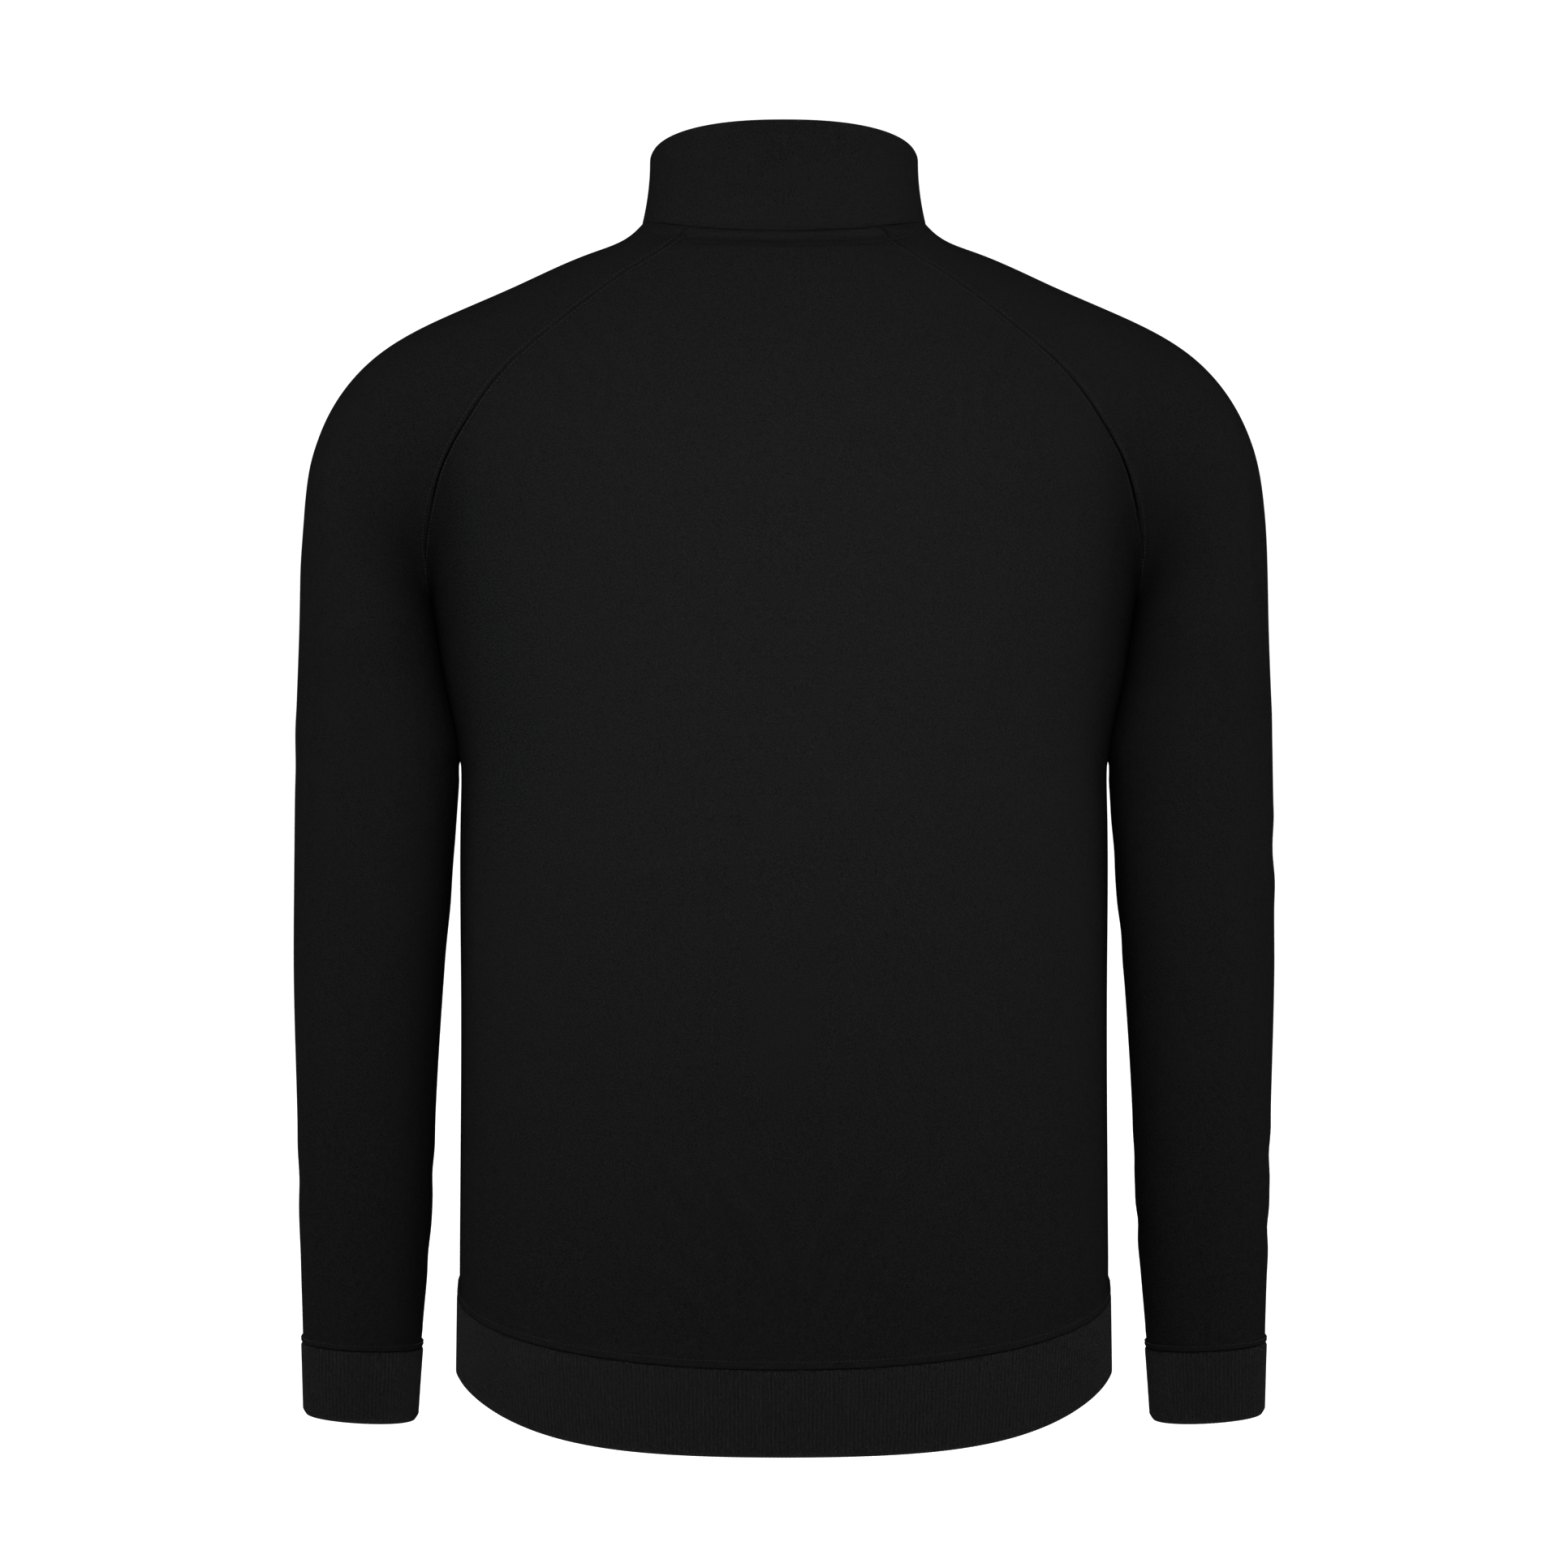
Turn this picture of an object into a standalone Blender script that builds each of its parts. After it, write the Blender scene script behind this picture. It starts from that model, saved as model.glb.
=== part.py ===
"""A track jacket in its worn shape, with no wearer: +Z up, the front towards -Y, the wearer's left at +X.

The origin is the middle of the neck, level with the back neck seam. Lengths are in metres, turns in degrees.
Every cloth piece is a wall between an outer grid of points, which carries the welts and ribs, and a plain
inner grid. The grids lie on three surfaces: the body, the sleeve and the stand collar.
"""

from math import radians

import bmesh
import bpy
import numpy as np

# Cloth and seams
CLOTH = 0.0020  # wall of the body and sleeves
COLLAR_CLOTH = 0.0026  # two layers
KNIT = 0.0020  # rib knit, below its ribs
SEAM = 0.0003  # between two pieces
WELT = 0.0005  # how far a topstitched edge stands proud
NECK_WELT = 0.0008
STEP_DOWN = 0.0010  # from the welt's full height to the plain cloth

# Widths of the topstitched edges
RAGLAN_EDGE = 0.0036
HEM_EDGE = 0.0050
NECK_EDGE = 0.0062

# Rib knit
RIB_PITCH = 0.00245
RIB_HEIGHT = 0.0005
RIBS_PER_FLAT = 4  # ribs over each flat of the plain inner side

# Levels, taken at the side of the body
UNDERARM = -0.2350
HEM_SEAM = -0.6413
HEM_END = -0.6924
CORNER = 0.87  # a section's roundness above the waist: 1 is an ellipse, and smaller is squarer
HEM_BOW = 0.9  # how far the hem's even drop has turned, at the hem's end, into a soft S from side to back

# The body's sections. tilt is how far a section drops for each metre towards the back.
BODY_NAMES = "level half_width back front tilt corner"
BODY_ROWS = (
    (-0.7000, 0.20090, 0.1125, 0.1165, 0.300, 1.04),
    (-0.6413, 0.20000, 0.1170, 0.1205, 0.287, 0.96),
    (-0.5600, 0.19920, 0.1210, 0.1250, 0.240, 0.91),
    (-0.4500, 0.19880, 0.1225, 0.1260, 0.130, 0.88),
    (-0.3400, 0.19880, 0.1235, 0.1240, 0.030, 0.87),
    (-0.3100, 0.19930, 0.1245, 0.1230, 0.010, 0.87),
    (-0.2790, 0.20560, 0.1260, 0.1220, 0.000, 0.87),
    (-0.2350, 0.21350, 0.1280, 0.1205, 0.000, 0.87),
    (-0.1996, 0.21900, 0.1290, 0.1185, 0.000, 0.87),
    (-0.1665, 0.22310, 0.1290, 0.1150, 0.000, 0.87),
    (-0.1410, 0.22620, 0.1275, 0.1110, 0.000, 0.87),
    (-0.1099, 0.22310, 0.1215, 0.1040, 0.000, 0.87),
    (-0.0791, 0.21080, 0.1115, 0.0940, 0.000, 0.87),
    (-0.0541, 0.18590, 0.1005, 0.0830, 0.000, 0.87),
    (-0.0210, 0.14190, 0.0830, 0.0665, 0.000, 0.87),
    (0.0078, 0.09500, 0.0675, 0.0530, 0.000, 0.87),
    (0.0200, 0.08400, 0.0600, 0.0470, 0.000, 0.87),
)

# The sleeve below the underarm: its outer line (top), its inner line (seam), and its half depth about y.
TUBE_NAMES = "top_x top_z seam_x seam_z y half_depth"
TUBE_ROWS = (
    (0.29830, -0.7197, 0.22970, -0.7243, -0.0310, 0.0355),
    (0.29940, -0.6761, 0.22650, -0.6801, -0.0300, 0.0380),
    (0.30130, -0.6091, 0.22042, -0.6091, -0.0275, 0.0425),
    (0.30270, -0.5280, 0.21664, -0.5280, -0.0245, 0.0485),
    (0.30430, -0.4471, 0.21143, -0.4471, -0.0215, 0.0555),
    (0.30370, -0.3865, 0.20699, -0.3865, -0.0190, 0.0605),
    (0.30270, -0.3260, 0.20245, -0.3260, -0.0160, 0.0650),
    (0.30180, -0.2957, 0.20250, -0.2957, -0.0130, 0.0672),
    (0.30040, -0.2700, 0.20870, -0.2700, -0.0085, 0.0688),
)
CUFF_SEAM_ROW = 1  # the row where the cuff is sewn on

# The raglan cap, from the underarm to the neck. Its seams lie on the body, each at a level and a turn from
# the side. fold is how far the sleeve turns away from the body's surface at the seam, and the pulls say how
# far the cap's curve runs on past the seam and before the top.
CAP_NAMES = "top_x top_z back_level back_turn front_level front_turn fold seam_pull top_pull"
CAP_ROWS = (
    (0.29810, -0.2349, -0.2350, 0.0, -0.2350, 0.0, 177, 0.0940, 0.0940),
    (0.29680, -0.1900, -0.1996, 6.0, -0.1996, 6.0, 155, 0.0840, 0.0920),
    (0.29360, -0.1530, -0.1665, 17.3, -0.1665, 17.0, 110, 0.0650, 0.0890),
    (0.28230, -0.1090, -0.1410, 25.4, -0.1420, 25.0, 76, 0.0530, 0.0810),
    (0.25250, -0.0685, -0.1099, 33.8, -0.1130, 33.0, 40, 0.0430, 0.0700),
    (0.20660, -0.0413, -0.0791, 40.4, -0.0870, 40.0, 13, 0.0340, 0.0520),
    (0.16400, -0.0224, -0.0541, 44.7, -0.0650, 46.0, 0, 0.0270, 0.0425),
    (0.11800, -0.0028, -0.0252, 50.0, -0.0420, 53.0, 0, 0.0245, 0.0395),
    (0.09600, 0.0067, -0.0070, 52.8, -0.0270, 60.0, 0, 0.0230, 0.0365),
    (0.08750, 0.0150, 0.0078, 55.0, -0.0140, 65.0, 0, 0.0220, 0.0340),
)
NECK_REACH = 0.035  # how far from the neck the panels ease into its ring
FRONT_DROP = 0.024  # how much lower the front neck is at its middle than at the raglan seam

# The neck seam and the collar's edge: half width, reach to the back and the front, the height at each, and
# how the height bends between them, from 0.87 for a flat edge to 2 for one that is highest at the side
RING_NAMES = "half_width back front side_z back_z front_z bend"
NECK = dict(zip(RING_NAMES.split(), (0.0875, 0.0685, 0.0750, 0.0150, 0.0035, -0.0380, 2.0)))
EDGE = dict(zip(RING_NAMES.split(), (0.0826, 0.0665, 0.0735, 0.0529, 0.0697, 0.0343, 0.87)))
BACK_NECK_TURN = 53.4  # where the raglan seams meet the neck
FRONT_NECK_TURN = -48.0

# Front zip
ZIP_GAP = 0.0055  # from the middle to the edge of each front
TAPE_WIDTH = 0.0150
TAPE_CLOTH = 0.0008
TAPE_DEPTH = 0.0034  # below the outer surface of the front
TAPE_TOP = 0.93  # where the closed zip's tapes end, as a share of the collar's height
BOX_HEIGHT = 0.0090
BOX_HALF_WIDTH = 0.0042
BOX_DEPTH = 0.0036
BOX_CORNER = 0.0010

# Slider: a clip over the tapes' top end, with a wire crown that holds the pull tab
SLIDER_HALF_WIDTH = 0.0043
SLIDER_HEIGHT = 0.0110
SLIDER_PLATE = 0.0018
SLIDER_FACE = -0.0738  # the y of its outer face
CROWN_WIRE = 0.0014
CROWN_REACH = 0.0025  # from the pull's axis to each leg of the crown
BAR = 0.0012  # the pull's bar, square
PLAY = 0.0004  # round the bar
PULL_HALF_WIDTH = 0.0035
PULL_LENGTH = 0.0240
WINDOW_HALF_WIDTH = 0.0021
WINDOW_HEIGHT = 0.0050
PULL_CORNER = 0.0016
WINDOW_CORNER = 0.0005

PULL_AXIS_Y = SLIDER_FACE - PLAY - BAR / 2
PULL_AXIS_Z = 0.0265

# How finely each wall is cut, in even steps between its topstitched edges
BACK_STEPS = 18
FRONT_STEPS = 9
SLEEVE_STEPS = 16
COLLAR_STEPS = 34
BODY_LEVELS = (-0.600, -0.540, -0.470, -0.400, -0.345, -0.312, -0.290, -0.262)
ARM_ROWS = 12
RAGLAN_ROWS = 14
TAPE_ROWS = 16

# Colours, roughness and metallic value
FLEECE = ("fleece", (0.010, 0.010, 0.011, 1), 0.9, 0)
RIB = ("rib", (0.008, 0.008, 0.009, 1), 0.9, 0)
TAPE = ("tape", (0.006, 0.006, 0.006, 1), 0.8, 0)
METAL = ("zip_metal", (0.045, 0.045, 0.048, 1), 0.4, 1)


# Curves and sections


def table(names, rows):
    """The rows as columns of numbers, by name."""
    return dict(zip(names.split(), np.array(rows, float).T))


def natural_spline(x, y):
    """A smooth curve through the points (x, y), straight beyond its ends."""
    step = np.diff(x)
    rise = np.diff(y) / step
    system = np.eye(len(x))
    right = np.zeros(len(x))
    for i in range(1, len(x) - 1):
        system[i, i - 1 : i + 2] = step[i - 1], 2 * (step[i - 1] + step[i]), step[i]
        right[i] = 6 * (rise[i] - rise[i - 1])
    bend = np.linalg.solve(system, right)

    def curve(at):
        at = np.asarray(at, float)
        k = np.clip(np.searchsorted(x, at) - 1, 0, len(x) - 2)
        inside = np.clip(at, x[0], x[-1])
        before, after, h = x[k + 1] - inside, inside - x[k], step[k]
        value = (bend[k] * before**3 + bend[k + 1] * after**3) / (6 * h)
        value += (y[k] / h - bend[k] * h / 6) * before
        value += (y[k + 1] / h - bend[k + 1] * h / 6) * after
        slope = (bend[k + 1] * after**2 - bend[k] * before**2) / (2 * h)
        slope += rise[k] - (bend[k + 1] - bend[k]) * h / 6
        return value + slope * (at - inside)

    return curve


def splines(columns, along):
    return {name: natural_spline(along, values) for name, values in columns.items()}


def power(value, exponent):
    return np.sign(value) * np.abs(value) ** exponent


def smoothstep(value):
    t = np.clip(value, 0, 1)
    return t * t * (3 - 2 * t)


BODY = table(BODY_NAMES, BODY_ROWS)
BODY_AT = splines(BODY, BODY["level"])


def body(level, turn):
    """Points of the body's surface. Turn 0 is the side at +X, 90 the middle of the back and -90 the front's."""
    level, angle = np.broadcast_arrays(np.asarray(level, float), np.radians(turn))
    depth = np.where(np.sin(angle) >= 0, BODY_AT["back"](level), BODY_AT["front"](level))
    corner = BODY_AT["corner"](level)
    x = BODY_AT["half_width"](level) * power(np.cos(angle), corner)
    reach = power(np.sin(angle), corner)
    bow = HEM_BOW * np.clip((HEM_SEAM - level) / (HEM_SEAM - HEM_END), 0, 1)
    drop = reach + bow * (np.sign(reach) * smoothstep(np.abs(reach)) - reach)
    return np.stack([x, depth * reach, level - BODY_AT["tilt"](level) * depth * drop], -1)


def body_depth(x, z, side):
    """How far the body reaches to the back (side 1) or the front (side -1), above the underarm."""
    share = np.clip(x / BODY_AT["half_width"](z), 0, 1)
    return BODY_AT["back" if side > 0 else "front"](z) * (1 - share ** (2 / CORNER)) ** (CORNER / 2)


def neck_ring(size, turn):
    """Points of a ring round the neck: turn 0 is the side at +X, and 90 the back."""
    angle = np.radians(turn)
    behind = np.sin(angle) >= 0
    x = size["half_width"] * power(np.cos(angle), CORNER)
    y = np.where(behind, size["back"], size["front"]) * power(np.sin(angle), CORNER)
    rise = np.where(behind, size["back_z"], size["front_z"]) - size["side_z"]
    return np.stack([x, y, size["side_z"] + rise * np.abs(np.sin(angle)) ** size["bend"]], -1)


# The sleeve's tables share one distance, its run, which goes up its outer line from the cuff to the neck

TUBE = table(TUBE_NAMES, TUBE_ROWS)
CAP = table(CAP_NAMES, CAP_ROWS)
ARM_ROW = len(TUBE_ROWS)
TOP_X = np.append(TUBE["top_x"], CAP["top_x"])
TOP_Z = np.append(TUBE["top_z"], CAP["top_z"])
RUN = np.append(0, np.cumsum(np.hypot(np.diff(TOP_X), np.diff(TOP_Z))))
CUFF_SEAM_RUN, ARM_RUN, NECK_RUN = RUN[CUFF_SEAM_ROW], RUN[ARM_ROW], RUN[-1]

ROUND_PULL = TUBE["half_depth"] / 0.75  # makes half an oval of a cubic curve
CAP_AT = splines(CAP, RUN[ARM_ROW:])
SLEEVE_AT = splines(
    {
        "top_x": TOP_X,
        "top_z": TOP_Z,
        "y": np.append(TUBE["y"], 0 * CAP["fold"]),
        "seam_pull": np.append(ROUND_PULL, CAP["seam_pull"]),
        "top_pull": np.append(ROUND_PULL, CAP["top_pull"]),
    },
    RUN,
)
UNDERARM_X = BODY_AT["half_width"](UNDERARM) + 2 * SEAM
INNER_AT = splines(
    {"x": np.append(TUBE["seam_x"], UNDERARM_X), "z": np.append(TUBE["seam_z"], UNDERARM)},
    RUN[: ARM_ROW + 1],
)


def neck_ease(run):
    """0 away from the neck, and 1 at it."""
    return smoothstep(1 - (NECK_RUN - np.asarray(run, float)) / NECK_REACH)[..., None]


def seam_place(run, side):
    """The level and turn of the raglan seam, at the back (side 1) or the front (side -1)."""
    name = "back" if side > 0 else "front"
    return CAP_AT[name + "_level"](run), side * np.maximum(CAP_AT[name + "_turn"](run), 0)


def raglan(run, side):
    """Points of the raglan seam, from the underarm to the neck."""
    end = neck_ring(NECK, BACK_NECK_TURN if side > 0 else FRONT_NECK_TURN)
    lead = end - body(*seam_place(NECK_RUN, side))
    return body(*seam_place(run, side)) + neck_ease(run) * lead


def half_sleeve(run, share, side):
    """Points of half a sleeve section, from its seam (share 0) to its outer line (share 1)."""
    in_cap = run > ARM_RUN
    cap_run = np.maximum(run, ARM_RUN)
    inner = np.stack([INNER_AT["x"](run), SLEEVE_AT["y"](run), INNER_AT["z"](run)], -1)
    top = np.stack([SLEEVE_AT[name](run) for name in ("top_x", "y", "top_z")], -1)
    seam = np.where(in_cap[..., None], raglan(cap_run, side), inner)
    out = (top - seam) * (1, 0, 1)
    out /= np.linalg.norm(out, axis=-1, keepdims=True)

    near = 0.0015
    x, z, out_x, out_z = seam[..., 0], seam[..., 2], out[..., 0], out[..., 2]
    fall = body_depth(x, z, side) - body_depth(x - near * out_x, z - near * out_z, side)
    fold = np.radians(np.clip(CAP_AT["fold"](cap_run), 0, 180))
    turned = np.minimum(np.arctan2(fall, near) + fold, np.pi / 2)
    leave = np.where(in_cap, turned, np.pi / 2)[..., None]
    across = np.array([0, side, 0])
    seam = seam + np.where(in_cap, 2 * SEAM * np.sin(fold / 2) ** 4, 0)[..., None] * (1, 0, 0)

    first = seam + SLEEVE_AT["seam_pull"](run)[..., None] * (np.cos(leave) * out + np.sin(leave) * across)
    second = top + SLEEVE_AT["top_pull"](run)[..., None] * across
    t = share[..., None]
    return (1 - t) ** 3 * seam + 3 * t * (1 - t) ** 2 * first + 3 * t**2 * (1 - t) * second + t**3 * top


def raw_sleeve(share, run):
    front = half_sleeve(run, np.clip(2 * share, 0, 1), -1)
    back = half_sleeve(run, np.clip(2 - 2 * share, 0, 1), 1)
    return np.where(share[..., None] < 0.5, front, back)


def sleeve(share, run):
    """Points of the left sleeve: share 0 is its front seam, a half its outer line, and 1 its back seam."""
    share, run = np.broadcast_arrays(np.asarray(share, float), np.asarray(run, float))
    turn = np.interp(share, (0, 0.5, 1), (FRONT_NECK_TURN, 0, BACK_NECK_TURN))
    lead = neck_ring(NECK, turn) - raw_sleeve(share, np.full_like(run, NECK_RUN))
    return raw_sleeve(share, run) + neck_ease(run) * lead


# The body's panels. Their height is the level up to the underarm, and goes on with the sleeve's run above it.

NECK_HEIGHT = UNDERARM + NECK_RUN - ARM_RUN


def run_at(height):
    return ARM_RUN + np.maximum(np.asarray(height, float) - UNDERARM, 0)


def panel_place(height, side):
    """The level and turn at which a panel's row starts: on the side seam, or on the raglan seam above it."""
    level, turn = seam_place(run_at(height), side)
    above = height > UNDERARM
    return np.where(above, level, height), np.where(above, turn, 0)


def back_panel(share, height):
    """Points of the back: share 0 is its left edge, and 1 its right edge."""
    share, height = np.broadcast_arrays(np.asarray(share, float), np.asarray(height, float))

    def raw(at):
        level, turn = panel_place(at, 1)
        return body(level, turn + (180 - 2 * turn) * share)

    turn = BACK_NECK_TURN + (180 - 2 * BACK_NECK_TURN) * share
    lead = neck_ring(NECK, turn) - raw(np.full_like(height, NECK_HEIGHT))
    return raw(height) + neck_ease(run_at(height)) * lead


def front_panel(share, height):
    """Points of the left front: share 0 is the middle of the zip, and 1 the side or raglan seam."""
    share, height = np.broadcast_arrays(np.asarray(share, float), np.asarray(height, float))

    def raw(at):
        level, turn = panel_place(at, -1)
        up = (run_at(at) - ARM_RUN) / (NECK_RUN - ARM_RUN)
        return body(level - FRONT_DROP * up**3 * smoothstep(1 - share), -90 + (90 + turn) * share)

    lead = neck_ring(NECK, -90 + (90 + FRONT_NECK_TURN) * share) - raw(np.full_like(height, NECK_HEIGHT))
    return raw(height) + neck_ease(run_at(height)) * lead


def hem(share, level):
    """Points of the hem band: share 0 is the middle of the zip, a half the back, and 1 the zip again."""
    return body(level, -90 + 360 * np.asarray(share, float))


def collar(share, up):
    """Points of the collar, from the neck seam (up 0) to its edge (up 1): share 0 and 1 are the zip."""
    share, up = np.broadcast_arrays(np.asarray(share, float), np.asarray(up, float))
    turn = -90 + 360 * share
    foot, edge = neck_ring(NECK, turn), neck_ring(EDGE, turn)
    drawn_in = (1 - (1 - up) ** 2)[..., None]
    points = foot + drawn_in * (edge - foot)
    points[..., 2] = foot[..., 2] + up * (edge[..., 2] - foot[..., 2])
    return points


def zip_line(share, height):
    """Points behind the zip: height is the level up to the neck, and then 1 more for the whole collar."""
    share, height = np.broadcast_arrays(np.asarray(share, float), np.asarray(height, float))
    up = height - NECK["front_z"]
    below = body(np.minimum(height, NECK["front_z"]), -90 + 90 * share)
    return np.where((up <= 0)[..., None], below, collar(share / 4, np.clip(up, 0, 1)))


# Walls


def facing(surface, shares, heights):
    """Unit normals of a surface, on its outer side."""
    near_share, near_height = 0.004, 0.0015
    left, right = np.maximum(shares - near_share, 0), np.minimum(shares + near_share, 1)
    below = np.maximum(heights - near_height, heights.min())
    above = np.minimum(heights + near_height, heights.max())
    along = surface(right, heights) - surface(left, heights)
    normal = np.cross(along, surface(shares, above) - surface(shares, below))
    return normal / np.linalg.norm(normal, axis=-1, keepdims=True)


def inset(points, by, closed_rows):
    """Moves a grid's four edges in, each by its own distance: first and last row, first and last column."""
    moved = points.copy()
    for distance, edge, inner in (
        (by[0], np.s_[0, :], np.s_[1, :]),
        (by[1], np.s_[-1, :], np.s_[-2, :]),
        (by[2], np.s_[closed_rows:, 0], np.s_[closed_rows:, 1]),
        (by[3], np.s_[closed_rows:, -1], np.s_[closed_rows:, -2]),
    ):
        step = points[inner] - points[edge]
        moved[edge] += distance * step / np.linalg.norm(step, axis=-1, keepdims=True)
    return moved


def edge_columns(gap, edges, steps, length):
    """Distances along a row: its gap, the topstitched edges' own columns at each end, even steps between."""
    start = [gap[0] + distance for distance in edges[0]]
    end = [length - gap[1] - distance for distance in edges[1]]
    even = np.linspace(start[-1], end[-1], steps + 1)[1:-1]
    return start + list(even) + end[::-1]


def placed(surface, heights, gap, edges, steps):
    """The shares at which each row of a panel has its columns."""
    fine = np.linspace(0, 1, 241)
    rows = []
    for height in heights:
        points = surface(fine, np.full_like(fine, height))
        run = np.append(0, np.cumsum(np.linalg.norm(np.diff(points, axis=0), axis=1)))
        rows.append(np.interp(edge_columns(gap, edges, steps, run[-1]), run, fine))
    return np.array(rows)


def wall(name, surface, shares, heights, proud, cloth, look, every=(1, 1), closed_rows=0, by=(0, 0, 0, 0)):
    """A closed wall whose outer points stand proud of the surface and whose inner side is plain.

    every is how many rows and columns of the outer grid each flat of the inner side spans. The first
    closed_rows rows run full circle, so that their ends are one. by is each edge's distance from its seam."""
    heights = np.broadcast_to(np.asarray(heights, float)[:, None], shares.shape)
    points = inset(surface(shares, heights), by, closed_rows)
    normal = facing(surface, shares, heights)
    row_count, column_count = shares.shape
    last_closed_row = max(closed_rows - 1, 0)
    inner_rows = sorted(set(range(0, row_count, every[0])) | {last_closed_row, row_count - 1})
    inner_columns = sorted(set(range(0, column_count, every[1])) | {column_count - 1})

    mesh = bmesh.new()

    def grid(layer, rows, columns):
        made = {}
        for r in rows:
            for c in columns:
                ends_meet = r < closed_rows and c == column_count - 1
                made[r, c] = made[r, 0] if ends_meet else mesh.verts.new(layer[r, c])
        return made

    outer = grid(points + normal * proud[..., None], range(row_count), range(column_count))
    inner = grid(points - normal * cloth, inner_rows, inner_columns)

    def quads(made, rows, columns, inward):
        for r, next_r in zip(rows, rows[1:]):
            for c, next_c in zip(columns, columns[1:]):
                corners = [made[r, c], made[r, next_c], made[next_r, next_c], made[next_r, c]]
                mesh.faces.new(corners[::-1] if inward else corners)

    quads(outer, range(row_count), range(column_count), False)
    quads(inner, inner_rows, inner_columns, True)
    for c, next_c in zip(inner_columns, inner_columns[1:]):
        for r, downward in ((0, True), (row_count - 1, False)):
            rim = [outer[r, k] for k in range(c, next_c + 1)] + [inner[r, next_c], inner[r, c]]
            mesh.faces.new(rim[::-1] if downward else rim)
    for r, next_r in zip(inner_rows, inner_rows[1:]):
        if next_r < closed_rows:
            continue
        for c, leftward in ((0, False), (column_count - 1, True)):
            rim = [outer[k, c] for k in range(r, next_r + 1)] + [inner[next_r, c], inner[r, c]]
            mesh.faces.new(rim[::-1] if leftward else rim)
    for face in mesh.faces:
        face.smooth = True
    return finished(name, mesh, material(*look))


def finished(name, mesh, made_of):
    """A named object of this mesh, in the jacket's collection, with its material."""
    data = bpy.data.meshes.new(name)
    mesh.to_mesh(data)
    mesh.free()
    made = bpy.data.objects.new(name, data)
    jacket.objects.link(made)
    data.materials.append(made_of)
    return made


def mirrored(made, name):
    """The other side's piece."""
    mesh = bmesh.new()
    mesh.from_mesh(made.data)
    for vertex in mesh.verts:
        vertex.co.x *= -1
    bmesh.ops.reverse_faces(mesh, faces=mesh.faces)
    return finished(name, mesh, made.data.materials[0])


def material(name, colour, roughness, metallic):
    if name in bpy.data.materials:
        return bpy.data.materials[name]
    made = bpy.data.materials.new(name)
    made.use_nodes = True
    shader = made.node_tree.nodes["Principled BSDF"]
    shader.inputs["Base Color"].default_value = colour
    shader.inputs["Roughness"].default_value = roughness
    shader.inputs["Metallic"].default_value = metallic
    return made


# The pieces

GROOVE = 0.0008  # from the seam to the welt's full height
EDGE_STEPS = (0, GROOVE, RAGLAN_EDGE, RAGLAN_EDGE + STEP_DOWN)
WELT_COLUMNS = (1, 2)
STITCH_START = 0.055  # how far above the underarm, along the sleeve, the raglan's topstitching starts


def cap_runs():
    """Runs of the rows that the sleeve, the back and the fronts share, from the underarm to the neck."""
    neck = [NECK_RUN - NECK_EDGE - STEP_DOWN, NECK_RUN - NECK_EDGE, NECK_RUN - GROOVE, NECK_RUN]
    return np.append(np.linspace(ARM_RUN, neck[0], RAGLAN_ROWS)[:-1], neck)


def panel_heights():
    """Rows of the back and the fronts: the hem's welt, the body, and the raglan stretch to the neck's welt."""
    hem_rows = [HEM_SEAM, HEM_SEAM + GROOVE, HEM_SEAM + HEM_EDGE, HEM_SEAM + HEM_EDGE + STEP_DOWN]
    return np.concatenate([hem_rows, BODY_LEVELS, UNDERARM + cap_runs() - ARM_RUN])


def welted(shares, stitched, foot_welt):
    """How far a panel's outer points stand proud: raglan edges on stitched rows, then foot and neck."""
    proud = np.zeros_like(shares)
    for c in WELT_COLUMNS:
        proud[stitched, c] = proud[stitched, -1 - c] = WELT
    proud[1:3] = foot_welt
    proud[-3:-1] = NECK_WELT
    return proud


def make_back():
    heights = panel_heights()
    shares = placed(back_panel, heights, (0, 0), (EDGE_STEPS, EDGE_STEPS), BACK_STEPS)
    proud = welted(shares, heights > UNDERARM + STITCH_START, WELT)
    half = SEAM / 2
    by = (half, half, half, half)
    wall("back", back_panel, shares, heights, proud, CLOTH, FLEECE, (2, 1), by=by)


def make_fronts():
    heights = panel_heights()
    shares = placed(front_panel, heights, (ZIP_GAP, 0), (EDGE_STEPS, EDGE_STEPS), FRONT_STEPS)
    proud = welted(shares, heights > UNDERARM + STITCH_START, WELT)
    proud[:, 1:3] = WELT
    half = SEAM / 2
    by = (half, half, 0, half)
    left = wall("front_left", front_panel, shares, heights, proud, CLOTH, FLEECE, (2, 1), by=by)
    mirrored(left, "front_right")


def make_sleeves():
    cuff_rows = CUFF_SEAM_RUN + np.array([0, GROOVE, HEM_EDGE, HEM_EDGE + STEP_DOWN])
    tube_rows = np.linspace(cuff_rows[-1], ARM_RUN, ARM_ROWS)[1:-1]
    heights = np.concatenate([cuff_rows, tube_rows, cap_runs()])
    shares = placed(sleeve, heights, (0, 0), (EDGE_STEPS, EDGE_STEPS), SLEEVE_STEPS)
    proud = welted(shares, heights > ARM_RUN + STITCH_START, WELT)
    closed = len(cuff_rows) + len(tube_rows) + 1
    half = SEAM / 2
    by = (half, half, half, half)
    left = wall("sleeve_left", sleeve, shares, heights, proud, CLOTH, FLEECE, (2, 1), closed, by)
    mirrored(left, "sleeve_right")


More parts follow.
